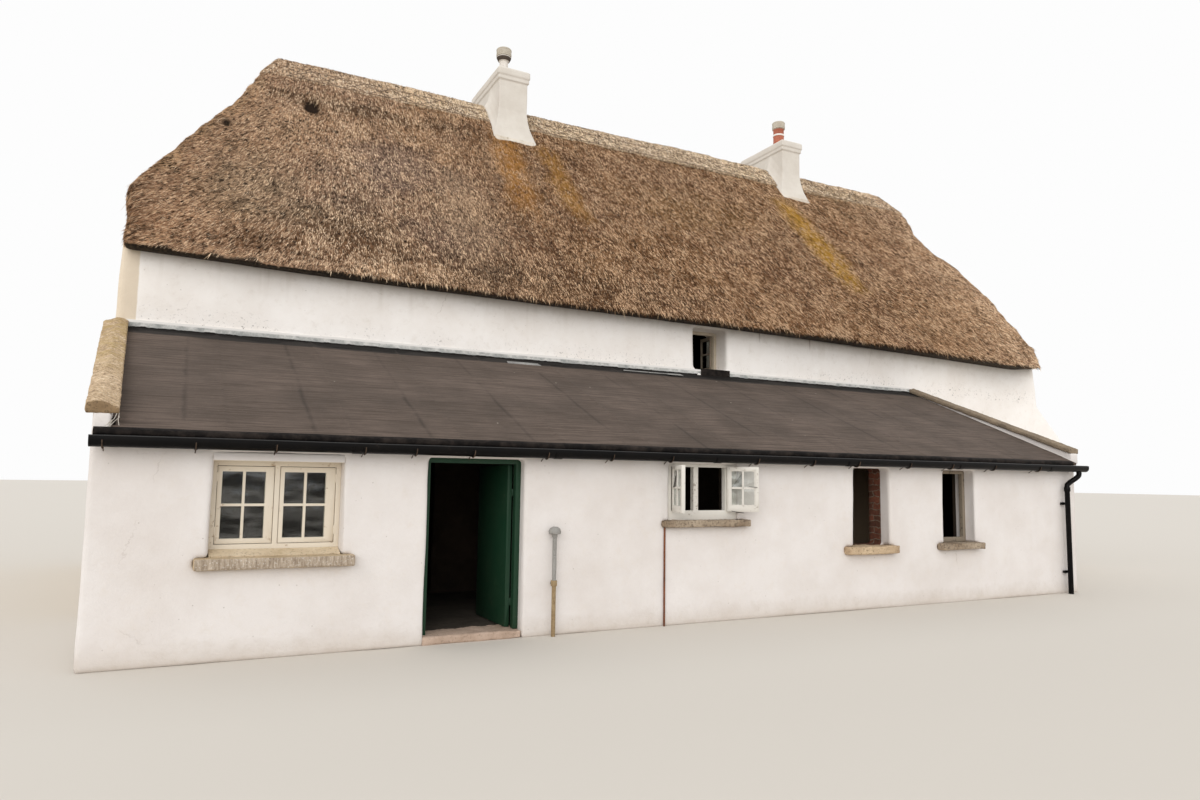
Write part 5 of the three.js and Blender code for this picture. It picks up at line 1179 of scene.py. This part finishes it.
def blocks(name, corners_given, material, ease=0.002):
    """Squared pieces in one mesh, each between two opposite corners of the survey, with every arris eased."""
    shape = bmesh.new()
    for low, high in corners_given:
        low, high = survey(*low), survey(*high)
        for corner in bmesh.ops.create_cube(shape, size=1.0)["verts"]:
            corner.co = Vector([low[i] + (high[i] - low[i]) * (corner.co[i] + 0.5) for i in range(3)])
    bmesh.ops.bevel(shape, geom=shape.edges[:], offset=ease, segments=2, affect="EDGES", profile=0.5)
    return creased(new_piece(name, shape, material), 40)


# Black bitumen paint on cast iron: it still has a soft shine on the gutter's lip, and rust-brown spots where it chips
black_iron = worn_paint("black_painted_iron", "#050506", "#241d19", worn=0.15, roughness=0.33, sheen=0.12)
# The gutter's lip is rubbed by rain and shines, and its black is painted a bluish grey as a painted highlight
rubbed_and_highlit_lip = worn_paint("rubbed_and_highlit_iron_lip", "#1b1c1e", "#3a332e", worn=0.15, roughness=0.30, sheen=0.5)
# The gutter's hooks are older: brown-black with only a trace of rust
hook_iron = mineral_finish("old_hook_iron", "#5d4c3e", "#3d322a", "#2a211c", specks=0.4, grain=0.006, depth=0.0015)
fit(trued("gutter_trough", "gutter", black_iron, ease=0.0008, facets=25), "black_iron", "gutter")
fit(trued("gutter_fascia_board", "gutter_fascia", black_iron, ease=0.0015), "black_iron", "gutter_fascia")
# The trough's middle, and the lip on its outer edge, as y and z of the survey
TROUGH, LIP = (-0.144, 1.737), (-0.198, 1.765)
lip_path = [survey(x, LIP[0], LIP[1] + 0.0015 * math.sin(x * 2.1)) for x in np.arange(0.0, 12.04, 0.2)]
fit(rods("gutter_lip_bead", [lip_path], rubbed_and_highlit_lip, thickness=0.010, sides=8), "black_iron")

# Sockets are half-round iron bands under the gutter, open at the top
SOCKETS, SOCKET_WIDTH, SOCKET_RADIUS, SOCKET_THICK = [1.92, 3.80, 5.66, 7.52, 9.40, 11.20], 0.075, 0.0615, 0.005
under = np.linspace(math.pi, 2 * math.pi, 13)
band = [(SOCKET_RADIUS * math.cos(a), SOCKET_RADIUS * math.sin(a)) for a in under]
band += [((SOCKET_RADIUS - SOCKET_THICK) * math.cos(a), (SOCKET_RADIUS - SOCKET_THICK) * math.sin(a))
         for a in reversed(under)]
sockets = bmesh.new()
for station in SOCKETS:
    ringed(sockets, [[survey(station + dx, TROUGH[0] + y, TROUGH[1] + z) for y, z in band]
                     for dx in (0, SOCKET_WIDTH)])
socket_piece = creased(new_piece("gutter_sockets", sockets, black_iron), 40)
fit(socket_piece, "black_iron")

# The hooks are bent from 9 mm iron; their tails turn up in front of the gutter and back to the wall
HOOKS = [0.09, 0.72, 1.31, 2.02, 2.46, 2.99, 3.72, 4.42, 5.11, 6.21, 7.0, 7.68, 8.52, 9.26, 10.06, 10.97]
HOOK_RADIUS = 0.066
bend = np.linspace(1.80 * math.pi, 1.02 * math.pi, 9)
hook_paths = [[survey(x, -0.016, 1.655)] + [
    survey(x, TROUGH[0] + HOOK_RADIUS * math.cos(a), TROUGH[1] + HOOK_RADIUS * math.sin(a)) for a in bend]
    for x in HOOKS]
fit(rods("gutter_hooks", hook_paths, hook_iron, thickness=0.009), "black_iron")

fit(trued("downpipe_shaft", "downpipe", black_iron, ease=0.001, facets=50), "black_iron", "downpipe")
ears = blocks("downpipe_clips", [((11.648, -0.040, z), (11.752, -0.002, z + 0.035)) for z in (0.28, 1.22)], black_iron)
fit(ears, "black_iron")

# ------------------------------------------------------------ the small pipes
# A waste vent stands by the door: a galvanised tube with a spun cowl, held by one clip, its foot cased in older
# ochre pipe. Beside the second window a thin steel bar runs up the wall, all rust.

# Galvanised steel: grey and dull with pale spangle and some dirt
vent_steel = mineral_finish("dull_galvanised_steel", "#a4a29e", "#85827d", "#5b564f", specks=0.25, grain=0.008,
                            depth=0.0005)
# Buff oil paint on the older pipe at its foot, chalked and scuffed
vent_foot = mineral_finish("buff_pipe_paint", "#a99473", "#8b7455", "#5f4a33", specks=0.35, grain=0.008, depth=0.0008)
# Wrought iron left bare: brown-orange rust, dry and scaly
rusted_iron = mineral_finish("rusted_iron", "#8a5538", "#5e3a2a", "#3a2620", specks=0.4, grain=0.006, depth=0.0015)
VENT_FOOT_TOP = 0.495
vent = trued("vent", "vent_pipe", vent_steel, ease=0.0008, facets=40)
coat_faces(vent, [vent_steel, vent_foot], face_middles(vent)[2] < VENT_FOOT_TOP)
fit(vent, "grey_steel", "vent_pipe")
fit(trued("vent_hood", "vent_cowl", vent_steel, ease=0.001, facets=50), "grey_steel", "vent_cowl")
fit(spun("vent_socket", [(0.027, 0.470), (0.030, 0.474), (0.030, 0.520), (0.027, 0.524)],
         survey(3.857, -0.062, 0), vent_foot, sides=20), "grey_steel")
fit(trued("rusty_bar", "steel_pipe", rusted_iron, ease=0.0008, facets=50), "rusty_steel", "steel_pipe")

# --------------------------------------------------------------- the windows
# Softwood frames and casements with two by two panes, puttied and hung on butts. The first and fourth are cream, the
# second and the upper one white; their glass is old, thin and a little wavy.
cream_paint = worn_paint("cream_window_paint", "#e2d8c7", "#b8a48c", worn=0.26, roughness=0.62)
white_paint = worn_paint("white_window_paint", "#dfdbd3", "#a2978a", worn=0.30, roughness=0.58)
# Bare softwood, silvered by weather, with a trace of paint in its grain; on the upper casement the same grey is
# painted shade, for a white leaf standing in the dark room
grey_and_shade_wood = worn_paint("weathered_and_shade_darkened_wood", "#8f8373", "#5d5246", worn=0.40, roughness=0.85)
# Under the eave nobody paints: the upper window's white has gone beige and scales off grey wood
beige_paint = worn_paint("weathered_beige_paint", "#c3b7a4", "#85796a", worn=0.34, roughness=0.75)
# Half widths of a glazing bar and of the bead round the glass, and how far in the bead's middle lies
BAR, BEAD, BEAD_INSET = 0.011, 0.007, 0.006


def glazing_bars(name, columns, rows):
    """Bars and beads on the rebate side of a casement's glass, 22 mm wide, square to its panes."""
    pane = [corner.co.copy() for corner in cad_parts[name + "_glass"].data.vertices]
    middle = sum(pane, Vector()) / len(pane)
    foot = min(corner.z for corner in pane)
    low_corners = [corner for corner in pane if corner.z < foot + 1e-4]
    near = min((corner for corner in low_corners if (corner - low_corners[0]).length > 1e-3),
               key=lambda corner: (corner - low_corners[0]).length)
    out = (near - low_corners[0]).normalized()
    wood = [corner.co.copy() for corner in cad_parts[name].data.vertices]
    if (sum(wood, Vector()) / len(wood) - middle).dot(out) > 0:
        out = -out
    across, rise = out.cross(Vector((0, 0, 1))), Vector((0, 0, 1))
    half_width = max(abs((corner - middle).dot(across)) for corner in pane)
    half_height = max(abs(corner.z - middle.z) for corner in pane)
    bars = [(0, (row / rows * 2 - 1) * half_height, half_width, BAR) for row in range(1, rows)]
    bars += [((column / columns * 2 - 1) * half_width, 0, BAR, half_height) for column in range(1, columns)]
    bars += [(side * (half_width - BEAD_INSET), 0, BEAD, half_height) for side in (-1, 1)]
    bars += [(0, side * (half_height - BEAD_INSET), half_width, BEAD) for side in (-1, 1)]
    shape = bmesh.new()
    for u, v, du, dv in bars:
        for corner in bmesh.ops.create_cube(shape, size=2.0)["verts"]:
            spot = corner.co.copy()
            corner.co = (middle + across * (u + du * spot.x) + rise * (v + dv * spot.y)
                         + out * (0.0075 + 0.0055 * spot.z))
    bmesh.ops.recalc_face_normals(shape, faces=shape.faces)
    bmesh.ops.bevel(shape, geom=shape.edges[:], offset=0.0015, segments=1, affect="EDGES")
    return shape


# The shut casements are this much smaller than their opening; the first frame's hood starts at this height
SHUT_SIZE, HOOD_FOOT = np.array([0.984, 1.0, 0.988]), 1.630
for name, paint, slot in [
        ("window_1_frame", cream_paint, "cream_paint"), ("window_1_casement_left", cream_paint, "cream_paint"),
        ("window_1_casement_right", cream_paint, "cream_paint"), ("window_2_frame", white_paint, "white_paint"),
        ("window_2_casement_left", white_paint, "white_paint"),
        ("window_2_casement_right", white_paint, "white_paint"),
        # the upper casement takes the grey as painted shade
        ("upper_window_frame", beige_paint, "white_paint"), ("upper_window_casement", grey_and_shade_wood, "white_paint"),
        ("back_window_lower", white_paint, "white_paint"), ("back_window_upper", white_paint, "white_paint")]:
    joinery = trued(name + "_wood", name, paint, ease=0.0025)
    if "window_1_casement" in name:
        # shut in its frame with a dark joint all round
        place, normal = corners(joinery)
        middle = (place.min(0) + place.max(0)) / 2
        put(joinery, middle + (place - middle) * SHUT_SIZE)
    if name == "window_1_frame":
        # its hood is limewashed with the wall
        coat_faces(joinery, [cream_paint, limewash], face_middles(joinery)[2] > HOOD_FOOT)
    fit(joinery, slot, name)
    if "casement" in name:
        fit(new_piece(name + "_beads", glazing_bars(name, 1 if "upper" in name else 2, 2), paint), slot)
fit(trued("window_4_frame_wood", "window_4_frame", grey_and_shade_wood, ease=0.004), "cream_paint", "window_4_frame")

# Old drawn glass, 3 mm: clear with a grey-green cast; it gives back the sky in slightly bent patches
window_glass, tree, where = patterned("old_drawn_glass", 0.05, sheen=0.5, colour="#eef2ef", clear=1.0)
show(tree, None, add(tree, "TexNoise", {"Vector": where, "Scale": 7.0, "Detail": 1.0}), strength=0.25, depth=0.01)
banded = add(tree, "Mapping", {"Vector": where, "Scale": (3.0, 3.0, 11.0)})
bands = add(tree, "TexNoise", {"Vector": banded, "Scale": 1.0, "Detail": 2.0})
bends = add(tree, "MapRange", {0: bands, 1: 0.38, 2: 0.62, 3: 1.26, 4: 1.66})
tree.links.new(bends.outputs[0], tree.nodes["Principled BSDF"].inputs["IOR"])
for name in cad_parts:
    if name.endswith("_glass"):
        fit(new_piece(name + "_pane", bare_copy(name), window_glass), "window_glass", name)

# The upper casement is one leaf of a narrow pair, so it is half as wide as its opening
leaf_hinge, LEAF_WIDTH = survey(0, 3.160, 0).y, 0.5
for part_name in ("wood", "glass_pane", "beads"):
    leaf = bpy.data.objects["upper_window_casement_" + part_name]
    place, normal = corners(leaf)
    place[:, 1] = leaf_hinge + (place[:, 1] - leaf_hinge) * LEAF_WIDTH
    put(leaf, place)
# Under that window no lead is left: the felt is turned up the wall there and tarred
fit(blocks("felt_upturn", [((7.49, 2.768, 3.04), (8.01, 2.800, 3.156))], felt_edge, ease=0.004), "roofing_felt")

# Fittings: cream-painted butts on the first window, a black iron handle and a stay on the second
butts = [((x, 0.150, z), (x + 0.012, 0.164, z + 0.075)) for x in (0.893, 1.838) for z in (0.985, 1.430)]
fit(blocks("window_1_butts", butts, cream_paint, ease=0.001), "cream_paint")
leaf_run, leaf_out = Vector((0.786, -0.618, 0)), Vector((-0.618, -0.786, 0))
knuckle = survey(5.930, 0.020, 0)
handle = [knuckle + leaf_run * run + leaf_out * out + Vector((0, 0, z)) for run, out, z in
          ((0.335, 0.012, 1.425), (0.330, 0.032, 1.425), (0.245, 0.036, 1.432))]
stay = [survey(5.945, 0.000, 1.172), survey(5.990, -0.085, 1.158), survey(6.055, -0.128, 1.150)]
fit(rods("window_2_handle_and_stay", [handle, stay], black_iron, thickness=0.0055, sides=8), "black_iron")

# Under the first window's rail lies a fillet of ochre-stained mortar, run out over the sill
ochre_fillet = mineral_finish("ochre_mortar_fillet", "#e3d2b8", "#ccb898", "#9d8a6e", specks=0.3, grain=0.012,
                              depth=0.008)
fillet_section = [(0.150, 0.818), (0.022, 0.818), (0.018, 0.830), (0.070, 0.852), (0.150, 0.876)]
fillet = strip_along("window_1_fillet", fillet_section, np.arange(0.862, 1.885, 0.02), ochre_fillet,
                     wander=0.010, seed=2.0)
fit(fillet, "concrete")

# ------------------------------------------------------------------ the door
# A ledged plank door hung on strap hinges to two pintles, standing open inwards against the right-hand jamb. It is
# painted so dark a green that it reads as black in the doorway, and so is its frame.
door_green = worn_paint("dark_green_door_paint", "#173a27", "#3e4a38", worn=0.15, roughness=0.5, sheen=0.3)
fit(trued("door_frame_wood", "door_frame", door_green, ease=0.003), "green_paint", "door_frame")
fit(trued("door_planks", "door_leaf", door_green, ease=0.002), "green_paint", "door_leaf", body="door")

# ---------------------------------------------------------------- the floors
# Rough concrete in the lean-to and the ground floor, and boarded joists above; they are only seen as dark indoors,
# and the concrete is painted a dark grey-brown as painted shade.
shade_dark_concrete = mineral_finish("shade_darkened_indoor_concrete", "#4c453d", "#39332d", "#2a2520", specks=0.3, grain=0.020,
                                depth=0.003)
for name in ("lean_floor", "main_floor"):
    fit(trued(name + "_slab", name, shade_dark_concrete, ease=0.004), "concrete", name)
fit(trued("upper_floor_boards", "upper_floor", smoked_timber, ease=0.002), "floor_timber", "upper_floor")
